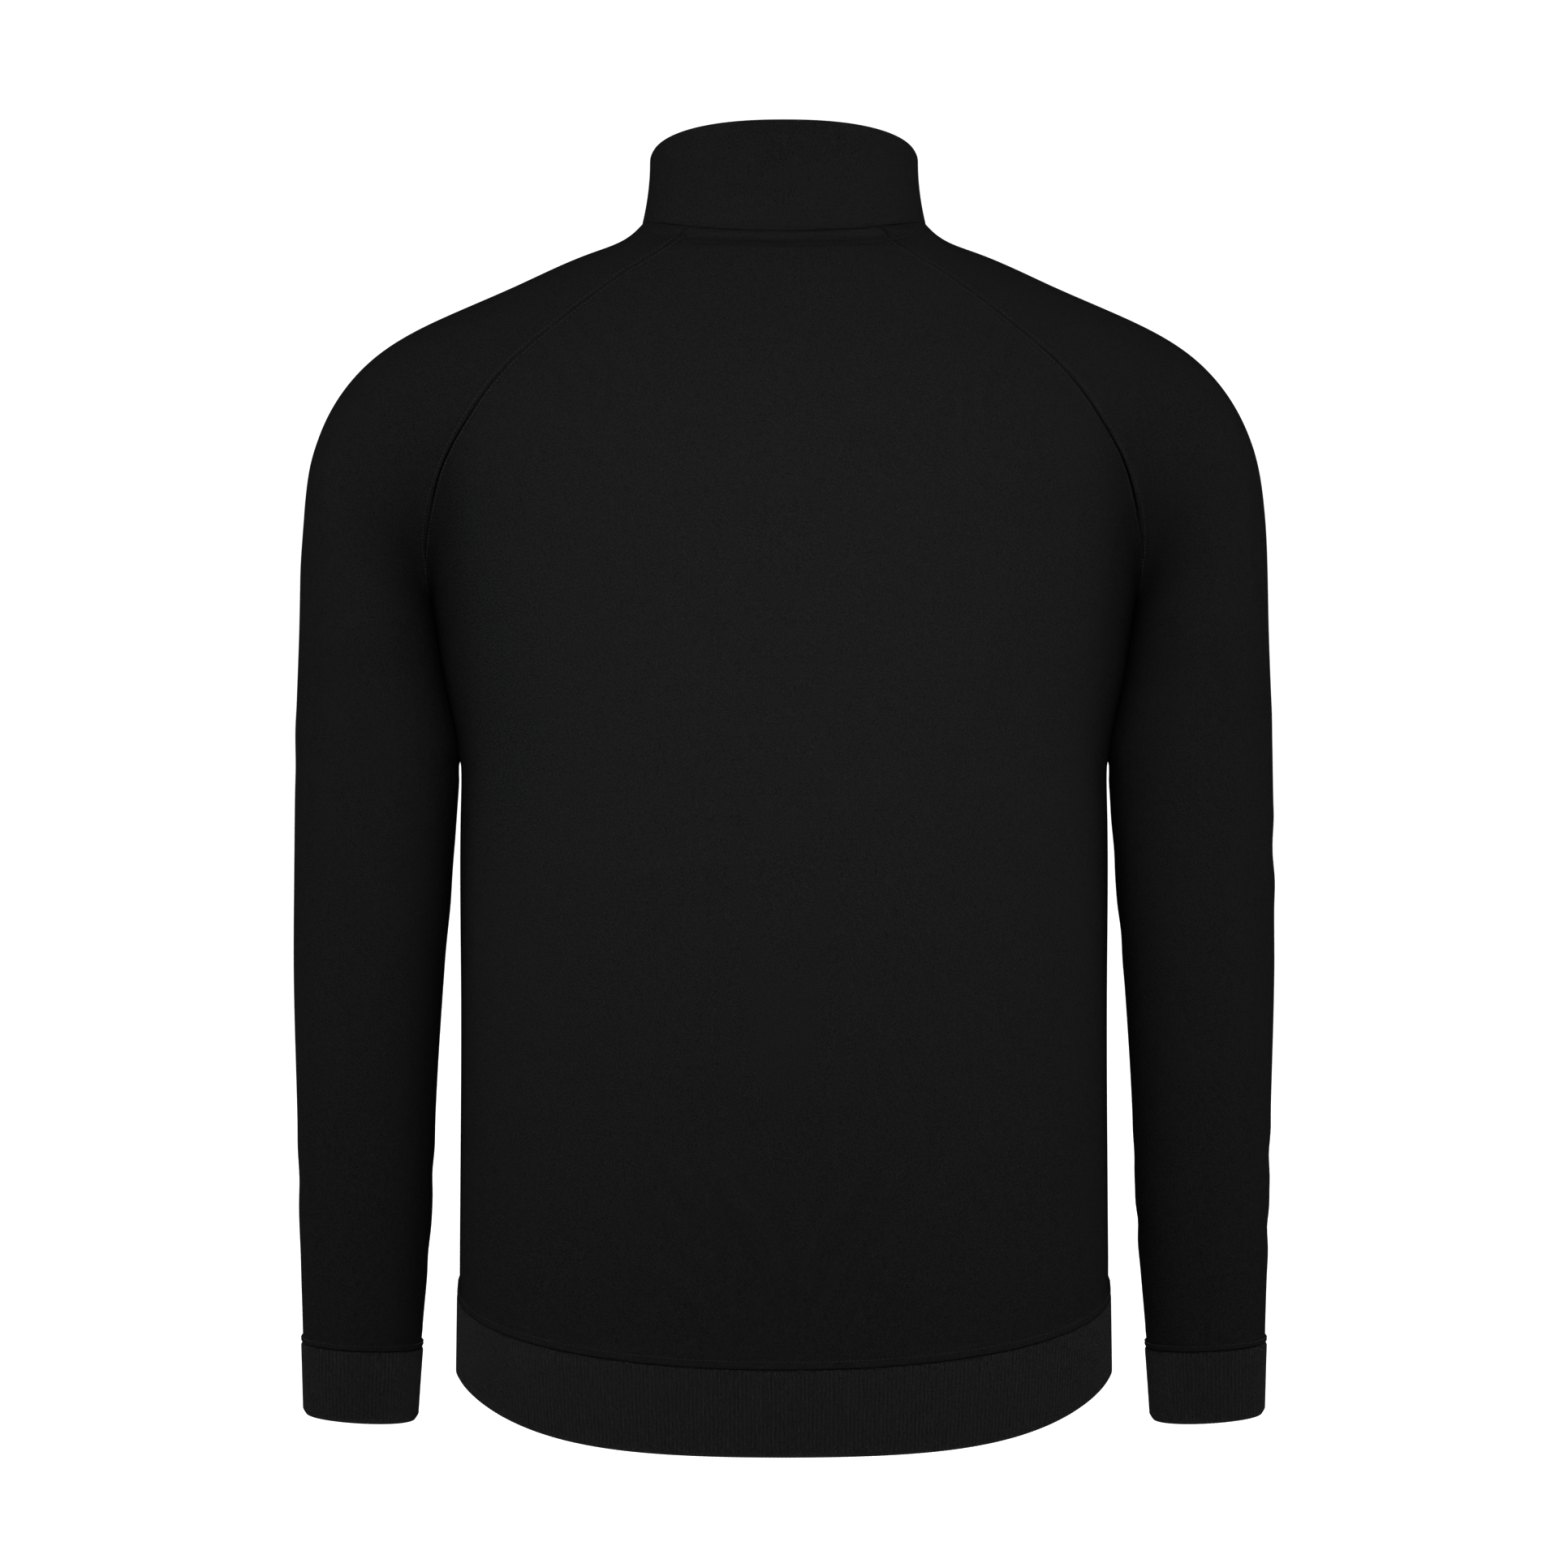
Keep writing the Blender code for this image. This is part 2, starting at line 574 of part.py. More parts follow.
def ribbed(surface, heights, gap):
    """Columns of a rib knit piece, two to each rib, and how far each stands proud."""
    fine = np.linspace(0, 1, 481)
    points = surface(fine, np.full_like(fine, np.mean(heights)))
    length = np.linalg.norm(np.diff(points, axis=0), axis=1).sum() - 2 * gap
    ribs = RIBS_PER_FLAT * round(length / RIB_PITCH / RIBS_PER_FLAT)
    shares = placed(surface, heights, (gap, gap), ((0,), (0,)), 2 * ribs)
    return shares, np.broadcast_to(RIB_HEIGHT * (np.arange(2 * ribs + 1) % 2), shares.shape)


def make_ribs():
    flats = (1, 2 * RIBS_PER_FLAT)
    by = (0, SEAM / 2, 0, 0)
    heights = np.array([HEM_END, HEM_SEAM])
    shares, proud = ribbed(hem, heights, ZIP_GAP)
    wall("hem_band", hem, shares, heights, proud, KNIT, RIB, flats, by=by)
    heights = np.array([0, CUFF_SEAM_RUN])
    shares, proud = ribbed(sleeve, heights, 0)
    left = wall("cuff_left", sleeve, shares, heights, proud, KNIT, RIB, flats, closed_rows=2, by=by)
    mirrored(left, "cuff_right")


def make_collar():
    heights = np.array([0, 0.12, 0.35, 0.65, 1])
    shares = placed(collar, heights, (ZIP_GAP, ZIP_GAP), ((0,), (0,)), COLLAR_STEPS)
    proud = np.zeros_like(shares)
    wall("collar", collar, shares, heights, proud, COLLAR_CLOTH, FLEECE, by=(SEAM / 2, 0, 0, 0))


def make_tapes():
    """The zip's tapes, inside the fronts, from the box at the hem up into the slider."""
    foot = HEM_END + BOX_HEIGHT + SEAM
    levels = np.append(np.linspace(foot, -0.10, TAPE_ROWS), [-0.07, -0.05, NECK["front_z"]])
    heights = np.append(levels, NECK["front_z"] + TAPE_TOP * np.array([0.2, 0.5, 1]))
    rows = []
    for height in heights:
        fine = np.linspace(0, 1, 241)
        points = zip_line(fine, np.full_like(fine, height))
        rows.append(np.interp((SEAM / 2, TAPE_WIDTH), points[:, 0], fine))
    shares = np.array(rows)
    proud = np.full_like(shares, -TAPE_DEPTH)
    left = wall("zip_tape_left", zip_line, shares, heights, proud, TAPE_DEPTH + TAPE_CLOTH, TAPE)
    mirrored(left, "zip_tape_right")


# The zip's hard pieces


def flat_piece(name, outlines, thickness, place, turned, look):
    """A plate of this outline, with any windows in it."""
    curve = bpy.data.curves.new(name, "CURVE")
    curve.dimensions = "2D"
    curve.fill_mode = "BOTH"
    curve.extrude = thickness / 2
    for outline in outlines:
        spline = curve.splines.new("POLY")
        spline.points.add(len(outline) - 1)
        for point, (x, y) in zip(spline.points, outline):
            point.co = (x, y, 0, 1)
        spline.use_cyclic_u = True
    made = bpy.data.objects.new(name, curve)
    made.location = place
    made.rotation_euler = turned
    jacket.objects.link(made)
    return as_mesh(made, look)


def as_mesh(made, look):
    """The same object with a welded mesh in place of its curve."""
    name, place = made.name, made.matrix_basis.copy()
    bpy.context.view_layer.update()
    data = bpy.data.meshes.new_from_object(made.evaluated_get(bpy.context.evaluated_depsgraph_get()))
    bpy.data.objects.remove(made)
    mesh = bmesh.new()
    mesh.from_mesh(data)
    bmesh.ops.remove_doubles(mesh, verts=mesh.verts, dist=1e-6)
    bmesh.ops.recalc_face_normals(mesh, faces=mesh.faces)
    made = finished(name, mesh, material(*look))
    made.matrix_basis = place
    return made


def rounded(half_width, top, bottom, radius, steps=4):
    """A rectangle's outline with round corners."""
    outline = []
    corners = ((half_width, top, 0), (-half_width, top, 90), (-half_width, bottom, 180), (half_width, bottom, 270))
    for x, y, start in corners:
        middle_x, middle_y = x - np.sign(x) * radius, y - (radius if y == top else -radius)
        for angle in np.radians(np.linspace(start, start + 90, steps + 1)):
            outline.append((middle_x + radius * np.cos(angle), middle_y + radius * np.sin(angle)))
    return outline


SIDEWAYS = (radians(90), 0, radians(90))  # an outline's x and y become +Y and +Z
UPRIGHT = (radians(90), 0, 0)  # an outline's x and y become +X and +Z


def make_slider():
    """A clip over the top of the tapes, and the wire crown on its face."""
    _, zip_y, tape_end = zip_line(0, NECK["front_z"] + TAPE_TOP)
    back_face = zip_y + TAPE_DEPTH + TAPE_CLOTH + 2 * SEAM
    top = tape_end + SEAM + SLIDER_PLATE
    low = top - SLIDER_HEIGHT
    clip = [
        (SLIDER_FACE, low),
        (SLIDER_FACE + SLIDER_PLATE, low),
        (SLIDER_FACE + SLIDER_PLATE, tape_end + SEAM),
        (back_face, tape_end + SEAM),
        (back_face, low),
        (back_face + SLIDER_PLATE / 2, low),
        (back_face + SLIDER_PLATE / 2, top),
        (SLIDER_FACE, top),
    ]
    slider = flat_piece("zip_slider", [clip], 2 * SLIDER_HALF_WIDTH, (0, 0, 0), SIDEWAYS, METAL)

    out = PULL_AXIS_Y - BAR / 2 - PLAY - CROWN_WIRE / 2
    root = SLIDER_FACE + SLIDER_PLATE / 2
    bend = CROWN_REACH / 2
    route = [
        (root, CROWN_REACH),
        ((root + out) / 2, CROWN_REACH),
        (out, bend),
        (out, -bend),
        ((root + out) / 2, -CROWN_REACH),
        (root, -CROWN_REACH),
    ]
    curve = bpy.data.curves.new("crown", "CURVE")
    curve.dimensions = "3D"
    curve.bevel_depth = CROWN_WIRE / 2
    curve.bevel_resolution = 2
    curve.use_fill_caps = True
    spline = curve.splines.new("POLY")
    spline.points.add(len(route) - 1)
    for point, (y, z) in zip(spline.points, route):
        point.co = (0, y, PULL_AXIS_Z + z, 1)
    crown = bpy.data.objects.new("crown", curve)
    jacket.objects.link(crown)
    crown = as_mesh(crown, METAL)
    jacket.objects.unlink(crown)
    helpers.objects.link(crown)
    crown.hide_render = True
    crown.display_type = "WIRE"
    joined = slider.modifiers.new("crown", "BOOLEAN")
    joined.operation = "UNION"
    joined.object = crown


def make_pull():
    """The pull tab, hanging from its bar, with its origin on the bar's axis."""
    tab = rounded(PULL_HALF_WIDTH, BAR / 2, BAR / 2 - PULL_LENGTH, PULL_CORNER)
    window = rounded(WINDOW_HALF_WIDTH, -BAR / 2, -BAR / 2 - WINDOW_HEIGHT, WINDOW_CORNER)
    flat_piece("zip_pull", [tab, window], BAR, (0, PULL_AXIS_Y, PULL_AXIS_Z), UPRIGHT, METAL)


def make_box():
    """The box that holds the zip's foot."""
    foot = zip_line(0, HEM_END + BOX_HEIGHT / 2)
    middle = foot[1] + TAPE_DEPTH + TAPE_CLOTH / 2
    low = zip_line(0, HEM_END)[2]
    outline = rounded(BOX_HALF_WIDTH, BOX_HEIGHT - SEAM, 0, BOX_CORNER)
    flat_piece("zip_box", [outline], BOX_DEPTH, (0, middle, low), UPRIGHT, METAL)


def clear_scene():
    for made in list(bpy.data.objects):
        bpy.data.objects.remove(made)


def collection(name):
    made = bpy.data.collections.new(name)
    bpy.context.scene.collection.children.link(made)
    return made


clear_scene()
jacket = collection("track_jacket")
helpers = collection("helpers")
make_back()
make_fronts()
make_sleeves()
make_ribs()
make_collar()
make_tapes()
make_slider()
make_pull()
make_box()
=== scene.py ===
"""The looks of a black track jacket: +Z up, its front towards -Y, and lengths in metres.

Each cloth piece is a thin closed shell on the surface of its solid, with seams, welts, ribs and soft creases,
and each line of topstitching is a joined mesh of thread stitches.
"""

from math import pi, radians

import bpy
import numpy as np
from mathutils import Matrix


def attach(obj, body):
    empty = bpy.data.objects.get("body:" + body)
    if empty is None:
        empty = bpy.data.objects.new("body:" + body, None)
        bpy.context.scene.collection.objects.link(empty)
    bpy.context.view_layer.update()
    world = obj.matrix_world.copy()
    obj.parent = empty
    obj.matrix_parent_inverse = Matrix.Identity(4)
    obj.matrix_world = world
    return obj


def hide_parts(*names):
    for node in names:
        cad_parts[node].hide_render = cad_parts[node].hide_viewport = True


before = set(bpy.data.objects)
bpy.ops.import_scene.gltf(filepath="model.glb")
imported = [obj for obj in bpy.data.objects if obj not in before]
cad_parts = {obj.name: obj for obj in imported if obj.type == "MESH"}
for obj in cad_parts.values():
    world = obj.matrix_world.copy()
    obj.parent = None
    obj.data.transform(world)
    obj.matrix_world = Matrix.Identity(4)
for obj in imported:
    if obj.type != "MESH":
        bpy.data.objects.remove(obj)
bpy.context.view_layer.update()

# Cloth and seams
CLOTH = 0.0018  # thickness, as the next two
COLLAR_CLOTH = 0.0026
KNIT = 0.0020
SEAM = 0.0001  # the gap between two pieces
SEAM_DEPTH = 0.0021  # how far a topstitched edge turns in
PLAIN_DEPTH = 0.0007  # how far a plain sewn edge turns in
SEAM_TURN = 0.0017  # how wide that turn is
ALLOWANCE = 0.0012  # how far the cloth behind a seam stands in
ALLOWANCE_WIDTH = 0.008
WELT = 0.0008  # how proud the cloth stands up to its topstitching
BAND_WELT = 0.0014  # the same above a rib band
UNDERARM_WELT = 0.0013  # how much fuller the welt is near the underarm, where the seam closes up
SWELL_START = 0.002  # distances from the seam over which the fuller welt rises, ends and fades
SWELL_END = 0.016
SWELL_FADE = 0.009
CLOSED_END = 0.110  # how far above the foot of the topstitching it ends, and over how much it fades
CLOSED_FADE = 0.090
DEEPENING = 0.100  # over how much height the raglan seam comes to its full depth
ROLL = 0.0038  # how thick the bound strip below the collar is
ROLL_FURROW = 0.0012  # how deep the furrows on both its sides are
ROLL_STITCH = 0.0013  # how much deeper its topstitching lies
STRIP_FADE = 0.030  # how far the strip runs on over the sleeves
STITCH_DEPTH = 0.00040  # how far a line of stitches pulls the cloth in
STITCH_PULL = 0.0008  # half the width of that pull

# From a seam to its topstitching, and to where the welt has sunk into the plain cloth
RAGLAN_STITCH = 0.0027
RAGLAN_SPREAD = 0.0042  # how much further off it is near the underarm
RAGLAN_EDGE = 0.0017  # this one from the topstitching
HEM_STITCH = 0.0050
HEM_EDGE = 0.0066
CUFF_STITCH = 0.0036
CUFF_EDGE = 0.0052
NECK_STITCH = 0.0060
NECK_EDGE = 0.0100
ZIP_STITCH = 0.0060

# Thread
STITCH_PITCH = 0.0025
STITCH_LENGTH = 0.0017
NEAR = 0.0006  # the reach over which a line's way is taken
THREAD = 0.00022  # half its thickness
SLANT = 0.10  # a stitch's slant to its line, and how much that varies
SLANT_SPREAD = 0.05
STRAY = 0.00005  # how far a stitch strays from its line

# Rib knit
RIB_PITCH = 0.00245
RIB_HEIGHT = 0.0015
RIB_COLUMNS = 6
RIB_FOLD = 0.0003  # how far the band draws in at its folded edge
RIB_INSIDE = 0.0002  # how deep the ribs are inside

# How far apart a grid's columns and rows are where nothing is sewn
COLUMN = 0.0042
ROW = 0.0045
COLLAR_COLUMN = 0.0035
COLLAR_ROW = 0.003
RIB_ROW = 0.0065

# How many points measure a row, and how many make a line of stitches
ROW_POINTS = 721
BAND_POINTS = 481
LINE_POINTS = 260
RING_POINTS = 400

# The body, the sleeve and the collar, as the solids have them
UNDERARM = -0.2350
UNDERARM_GAP = 0.0006  # how far the sleeve's seam stands off the body's there
HEM_SEAM = -0.6413
HEM_END = -0.6924
CORNER = 0.87
HEM_BOW = 0.9

BODY_NAMES = "level half_width back front tilt corner"
BODY_ROWS = (
    (-0.7000, 0.20090, 0.1125, 0.1165, 0.300, 1.04),
    (-0.6413, 0.20000, 0.1170, 0.1205, 0.287, 0.96),
    (-0.5600, 0.19920, 0.1210, 0.1250, 0.240, 0.91),
    (-0.4500, 0.19880, 0.1225, 0.1260, 0.130, 0.88),
    (-0.3400, 0.19880, 0.1235, 0.1240, 0.030, 0.87),
    (-0.3100, 0.19930, 0.1245, 0.1230, 0.010, 0.87),
    (-0.2790, 0.20560, 0.1260, 0.1220, 0.000, 0.87),
    (-0.2350, 0.21350, 0.1280, 0.1205, 0.000, 0.87),
    (-0.1996, 0.21900, 0.1290, 0.1185, 0.000, 0.87),
    (-0.1665, 0.22310, 0.1290, 0.1150, 0.000, 0.87),
    (-0.1410, 0.22620, 0.1275, 0.1110, 0.000, 0.87),
    (-0.1099, 0.22310, 0.1215, 0.1040, 0.000, 0.87),
    (-0.0791, 0.21080, 0.1115, 0.0940, 0.000, 0.87),
    (-0.0541, 0.18590, 0.1005, 0.0830, 0.000, 0.87),
    (-0.0210, 0.14190, 0.0830, 0.0665, 0.000, 0.87),
    (0.0078, 0.09500, 0.0675, 0.0530, 0.000, 0.87),
    (0.0200, 0.08400, 0.0600, 0.0470, 0.000, 0.87),
)

TUBE_NAMES = "top_x top_z seam_x seam_z y half_depth"
TUBE_ROWS = (
    (0.29830, -0.7197, 0.22970, -0.7243, -0.0310, 0.0355),
    (0.29940, -0.6761, 0.22650, -0.6801, -0.0300, 0.0380),
    (0.30130, -0.6091, 0.22042, -0.6091, -0.0275, 0.0425),
    (0.30270, -0.5280, 0.21664, -0.5280, -0.0245, 0.0485),
    (0.30430, -0.4471, 0.21143, -0.4471, -0.0215, 0.0555),
    (0.30370, -0.3865, 0.20699, -0.3865, -0.0190, 0.0605),
    (0.30270, -0.3260, 0.20245, -0.3260, -0.0160, 0.0650),
    (0.30180, -0.2957, 0.20250, -0.2957, -0.0130, 0.0672),
    (0.30040, -0.2700, 0.20870, -0.2700, -0.0085, 0.0688),
)
CUFF_SEAM_ROW = 1

CAP_NAMES = "top_x top_z back_level back_turn front_level front_turn fold seam_pull top_pull"
CAP_ROWS = (
    (0.29810, -0.2349, -0.2350, 0.0, -0.2350, 0.0, 177, 0.0940, 0.0940),
    (0.29680, -0.1900, -0.1996, 6.0, -0.1996, 6.0, 155, 0.0840, 0.0920),
    (0.29360, -0.1530, -0.1665, 17.3, -0.1665, 17.0, 110, 0.0650, 0.0890),
    (0.28230, -0.1090, -0.1410, 25.4, -0.1420, 25.0, 76, 0.0530, 0.0810),
    (0.25250, -0.0685, -0.1099, 33.8, -0.1130, 33.0, 40, 0.0430, 0.0700),
    (0.20660, -0.0413, -0.0791, 40.4, -0.0870, 40.0, 13, 0.0340, 0.0520),
    (0.16400, -0.0224, -0.0541, 44.7, -0.0650, 46.0, 0, 0.0270, 0.0425),
    (0.11800, -0.0028, -0.0252, 50.0, -0.0420, 53.0, 0, 0.0245, 0.0395),
    (0.09600, 0.0067, -0.0070, 52.8, -0.0270, 60.0, 0, 0.0230, 0.0365),
    (0.08750, 0.0150, 0.0078, 55.0, -0.0140, 65.0, 0, 0.0220, 0.0340),
)
NECK_REACH = 0.035
FRONT_DROP = 0.024

RING_NAMES = "half_width back front side_z back_z front_z bend"
NECK = dict(zip(RING_NAMES.split(), (0.0875, 0.0685, 0.0750, 0.0150, 0.0035, -0.0380, 2.0)))
EDGE = dict(zip(RING_NAMES.split(), (0.0826, 0.0665, 0.0735, 0.0529, 0.0697, 0.0343, 0.87)))
BACK_NECK_TURN = 53.4
FRONT_NECK_TURN = -48.0
COLLAR_HEIGHT = 0.066

# Zip
ZIP_GAP = 0.0055
TAPE_START = 0.00015  # from the middle of the zip to its tape, and to the tape's far edge
TAPE_WIDTH = 0.0150
TAPE_CLOTH = 0.0008
TAPE_DEPTH = 0.0034
TAPE_TOP = 0.93
BOX_HEIGHT = 0.0090
TOOTH_PITCH = 0.0024
TOOTH_WIDTH = 0.0032
TOOTH_HEIGHT = 0.0010
TOOTH_DEPTH = 0.0016
TOOTH_MESH = 0.0007  # how far a tooth reaches past the middle
TOOTH_TAPER = 0.75
TOOTH_EDGE = 0.00018  # how far its edges are bevelled

# Creases, in millimetres, as seen from one side: across and z of one end and of the other, how far the middle
# bows to the left of that way, how wide, and how deep. A negative depth is a ridge. Across is x from the back
# or the front, and y from the side.
BACK_CREASES = (
    (5, -664, 78, -540, 4, 4.4, -2.54),
    (16, -664, 81, -562, 4, 4.6, -2.44),
    (28, -664, 72, -586, 3, 4.4, -1.96),
    (38, -664, 66, -612, 2, 4.6, -1.76),
    (-2, -646, 45, -552, 3, 4.4, -2.35),
    (1, -622, 24, -572, 1, 4.4, -1.76),
    (-7, -662, -77, -540, -4, 4.6, -2.54),
    (-19, -660, -84, -564, -4, 4.6, -2.44),
    (-31, -664, -76, -594, -3, 4.4, -1.86),
    (-41, -664, -86, -620, -4, 4.6, -1.96),
    (-4, -640, -43, -558, -3, 4.4, -2.25),
    (-5, -616, -33, -574, -2, 4.6, -1.86),
    (128, -46, 94, -92, 3, 3.6, 0.7),
    (138, -56, 106, -100, 3, 3.6, 0.65),
    (118, -84, 112, -132, 1, 3.6, 0.7),
    (106, -78, 101, -136, 1, 3.8, 0.7),
    (95, -88, 92, -130, 1, 3.6, 0.55),
    (-126, -47, -96, -90, -3, 3.6, 0.7),
    (-139, -58, -104, -104, -3, 3.8, 0.65),
    (-120, -86, -114, -130, -1, 3.6, 0.7),
    (-107, -80, -103, -138, -1, 3.6, 0.75),
    (-96, -92, -92, -132, -1, 3.6, 0.55),
    (192, -170, 120, -215, -10, 15, 1.1),
    (-194, -166, -130, -206, 10, 15, 1.2),
    (216, -250, 262, -216, 4, 7.5, 1.1),
    (214, -272, 272, -262, 5, 8.5, 0.9),
    (-216, -246, -266, -214, -4, 8, 1.05),
    (-214, -276, -268, -258, -4, 8, 0.95),
    (214, -398, 262, -386, 4, 10, 0.6),
    (-214, -406, -258, -390, -4, 10.5, 0.6),
    (246, -640, 284, -655, 3, 6, 0.35),
    (-248, -644, -288, -652, -3, 6.5, 0.35),
)
FRONT_CREASES = (
    (172, -140, 94, -205, 12, 13, 1.3),
    (-170, -146, -88, -200, -12, 13, 1.2),
    (186, -190, 118, -262, 10, 12, 0.95),
    (-188, -186, -126, -270, -12, 12.5, 1.05),
    (14, -636, 58, -566, 5, 6, 0.7),
    (16, -600, 46, -528, 4, 5.5, 0.5),
    (-14, -632, -64, -560, -6, 6.2, 0.75),
    (-18, -604, -40, -520, -3, 5.5, 0.45),
    (210, -352, 272, -330, 6, 7, 1.9),
    (208, -372, 282, -366, 7, 8, 2.3),
    (214, -398, 276, -404, -4, 7.5, 1.8),
    (218, -424, 264, -440, -4, 7, 1.1),
    (-210, -348, -276, -332, -6, 7.5, 1.8),
    (-208, -376, -284, -364, -6, 8, 2.2),
    (-212, -402, -272, -410, 5, 7.2, 1.7),
    (-218, -430, -262, -444, 3, 7, 1),
    (214, -236, 268, -200, 6, 8.5, 1.7),
    (214, -262, 276, -242, 6, 9, 1.5),
    (-214, -232, -272, -204, -6, 8.8, 1.6),
    (-214, -266, -270, -244, -5, 8.8, 1.5),
)
SIDE_CREASES = (
    (-80, -352, -20, -338, 4, 8.5, 1.4),
    (-82, -386, -6, -374, 6, 9.5, 1.5),
    (-80, -418, -22, -424, -4, 8.5, 1.2),
    (44, -300, 8, -330, -5, 12, 0.8),
    (-66, -120, -20, -175, 6, 14, 0.9),
    (70, -130, 30, -190, -6, 15, 0.8),
    (-60, -606, -10, -622, 4, 7.5, 0.7),
    (-50, -566, 6, -572, 4, 8.5, 0.6),
)

# Puckers where the rib bands gather the cloth
PUCKER_DEPTH = 0.00022
PUCKER_REACH = 0.022
CUFF_X = 0.263  # the middle of a cuff
BODY_SIDE = 0.2055  # between the body and the sleeves at the hem

# Below the underarm, where the sleeve lies against the body's side
TOUCH_END = -0.3190
TOUCH_FADE = 0.010
SLEEVE_SWELL = 0.62  # shares of the gap between them
BODY_SWELL = 0.36
BODY_REACH = 0.222
SLEEVE_HANG = 0.0009
HANG_TOP = -0.317
HANG_END = -0.440

# The camera, level and square on to the back
CAMERA = (0, 2.66, -0.329)
IMAGE_WIDTH = 1932
FOCAL_PIXELS = 5315

# The floor, and its sweeps up before the jacket's front and behind its back
FLOOR = -0.98
FLOOR_REACH = 9.0
SWEEP_START = (-1.0, 5.0)
SWEEP_DEPTH = 4.2
SWEEP_HEIGHT = 3.6
GLOW = (0.62, 0.30)
GLOW_END = (0.6, 1.5)
SURROUND = 0.45  # the strength of the even light from all around


# Curves and sections


def table(names, rows):
    """The rows as columns of numbers, by name."""
    return dict(zip(names.split(), np.array(rows, float).T))


def natural_spline(x, y):
    """A smooth curve through the points (x, y), straight beyond its ends."""
    step = np.diff(x)
    rise = np.diff(y) / step
    system = np.eye(len(x))
    right = np.zeros(len(x))
    for i in range(1, len(x) - 1):
        system[i, i - 1 : i + 2] = step[i - 1], 2 * (step[i - 1] + step[i]), step[i]
        right[i] = 6 * (rise[i] - rise[i - 1])
    bend = np.linalg.solve(system, right)

    def curve(at):
        at = np.asarray(at, float)
        k = np.clip(np.searchsorted(x, at) - 1, 0, len(x) - 2)
        inside = np.clip(at, x[0], x[-1])
        before, after, h = x[k + 1] - inside, inside - x[k], step[k]
        value = (bend[k] * before**3 + bend[k + 1] * after**3) / (6 * h)
        value += (y[k] / h - bend[k] * h / 6) * before
        value += (y[k + 1] / h - bend[k + 1] * h / 6) * after
        slope = (bend[k + 1] * after**2 - bend[k] * before**2) / (2 * h)
        slope += rise[k] - (bend[k + 1] - bend[k]) * h / 6
        return value + slope * (at - inside)

    return curve


def splines(columns, along):
    return {name: natural_spline(along, values) for name, values in columns.items()}


def run_along(points):
    """The distance along a line of points, from its first point to each."""
    return np.append(0, np.cumsum(np.linalg.norm(np.diff(points, axis=0), axis=1)))


def unit(vectors):
    return vectors / np.linalg.norm(vectors, axis=-1, keepdims=True)


def power(value, exponent):
    return np.sign(value) * np.abs(value) ** exponent


def smoothstep(value):
    t = np.clip(value, 0, 1)
    return t * t * (3 - 2 * t)


BODY = table(BODY_NAMES, BODY_ROWS)
BODY_AT = splines(BODY, BODY["level"])


def body(level, turn):
    """Points of the body's surface: turn 0 is the side at +X, 90 the middle of the back and -90 the front."""
    level, angle = np.broadcast_arrays(np.asarray(level, float), np.radians(turn))
    depth = np.where(np.sin(angle) >= 0, BODY_AT["back"](level), BODY_AT["front"](level))
    corner = BODY_AT["corner"](level)
    x = BODY_AT["half_width"](level) * power(np.cos(angle), corner)
    reach = power(np.sin(angle), corner)
    bow = HEM_BOW * np.clip((HEM_SEAM - level) / (HEM_SEAM - HEM_END), 0, 1)
    drop = reach + bow * (np.sign(reach) * smoothstep(np.abs(reach)) - reach)
    return np.stack([x, depth * reach, level - BODY_AT["tilt"](level) * depth * drop], -1)


def body_depth(x, z, side):
    """How far the body reaches to the back (side 1) or the front (side -1), above the underarm."""
    share = np.clip(x / BODY_AT["half_width"](z), 0, 1)
    return BODY_AT["back" if side > 0 else "front"](z) * (1 - share ** (2 / CORNER)) ** (CORNER / 2)


def neck_ring(size, turn):
    """Points of a ring round the neck: turn 0 is the side at +X, and 90 the back."""
    angle = np.radians(turn)
    behind = np.sin(angle) >= 0
    x = size["half_width"] * power(np.cos(angle), CORNER)
    y = np.where(behind, size["back"], size["front"]) * power(np.sin(angle), CORNER)
    rise = np.where(behind, size["back_z"], size["front_z"]) - size["side_z"]
    return np.stack([x, y, size["side_z"] + rise * np.abs(np.sin(angle)) ** size["bend"]], -1)


# The sleeve's tables share one distance, its run, which goes up its outer line from the cuff to the neck

TUBE = table(TUBE_NAMES, TUBE_ROWS)
CAP = table(CAP_NAMES, CAP_ROWS)
ARM_ROW = len(TUBE_ROWS)
TOP_X = np.append(TUBE["top_x"], CAP["top_x"])
TOP_Z = np.append(TUBE["top_z"], CAP["top_z"])
RUN = np.append(0, np.cumsum(np.hypot(np.diff(TOP_X), np.diff(TOP_Z))))
CUFF_SEAM_RUN, ARM_RUN, NECK_RUN = RUN[CUFF_SEAM_ROW], RUN[ARM_ROW], RUN[-1]

ROUND_PULL = TUBE["half_depth"] / 0.75
CAP_AT = splines(CAP, RUN[ARM_ROW:])
SLEEVE_AT = splines(
    {
        "top_x": TOP_X,
        "top_z": TOP_Z,
        "y": np.append(TUBE["y"], 0 * CAP["fold"]),
        "seam_pull": np.append(ROUND_PULL, CAP["seam_pull"]),
        "top_pull": np.append(ROUND_PULL, CAP["top_pull"]),
    },
    RUN,
)
UNDERARM_X = BODY_AT["half_width"](UNDERARM) + UNDERARM_GAP
INNER_RUN = RUN[: ARM_ROW + 1]
INNER_Z = np.append(TUBE["seam_z"], UNDERARM)
INNER_AT = splines({"x": np.append(TUBE["seam_x"], UNDERARM_X), "z": INNER_Z}, INNER_RUN)


def neck_ease(run):
    """0 away from the neck, and 1 at it."""
    return smoothstep(1 - (NECK_RUN - np.asarray(run, float)) / NECK_REACH)[..., None]


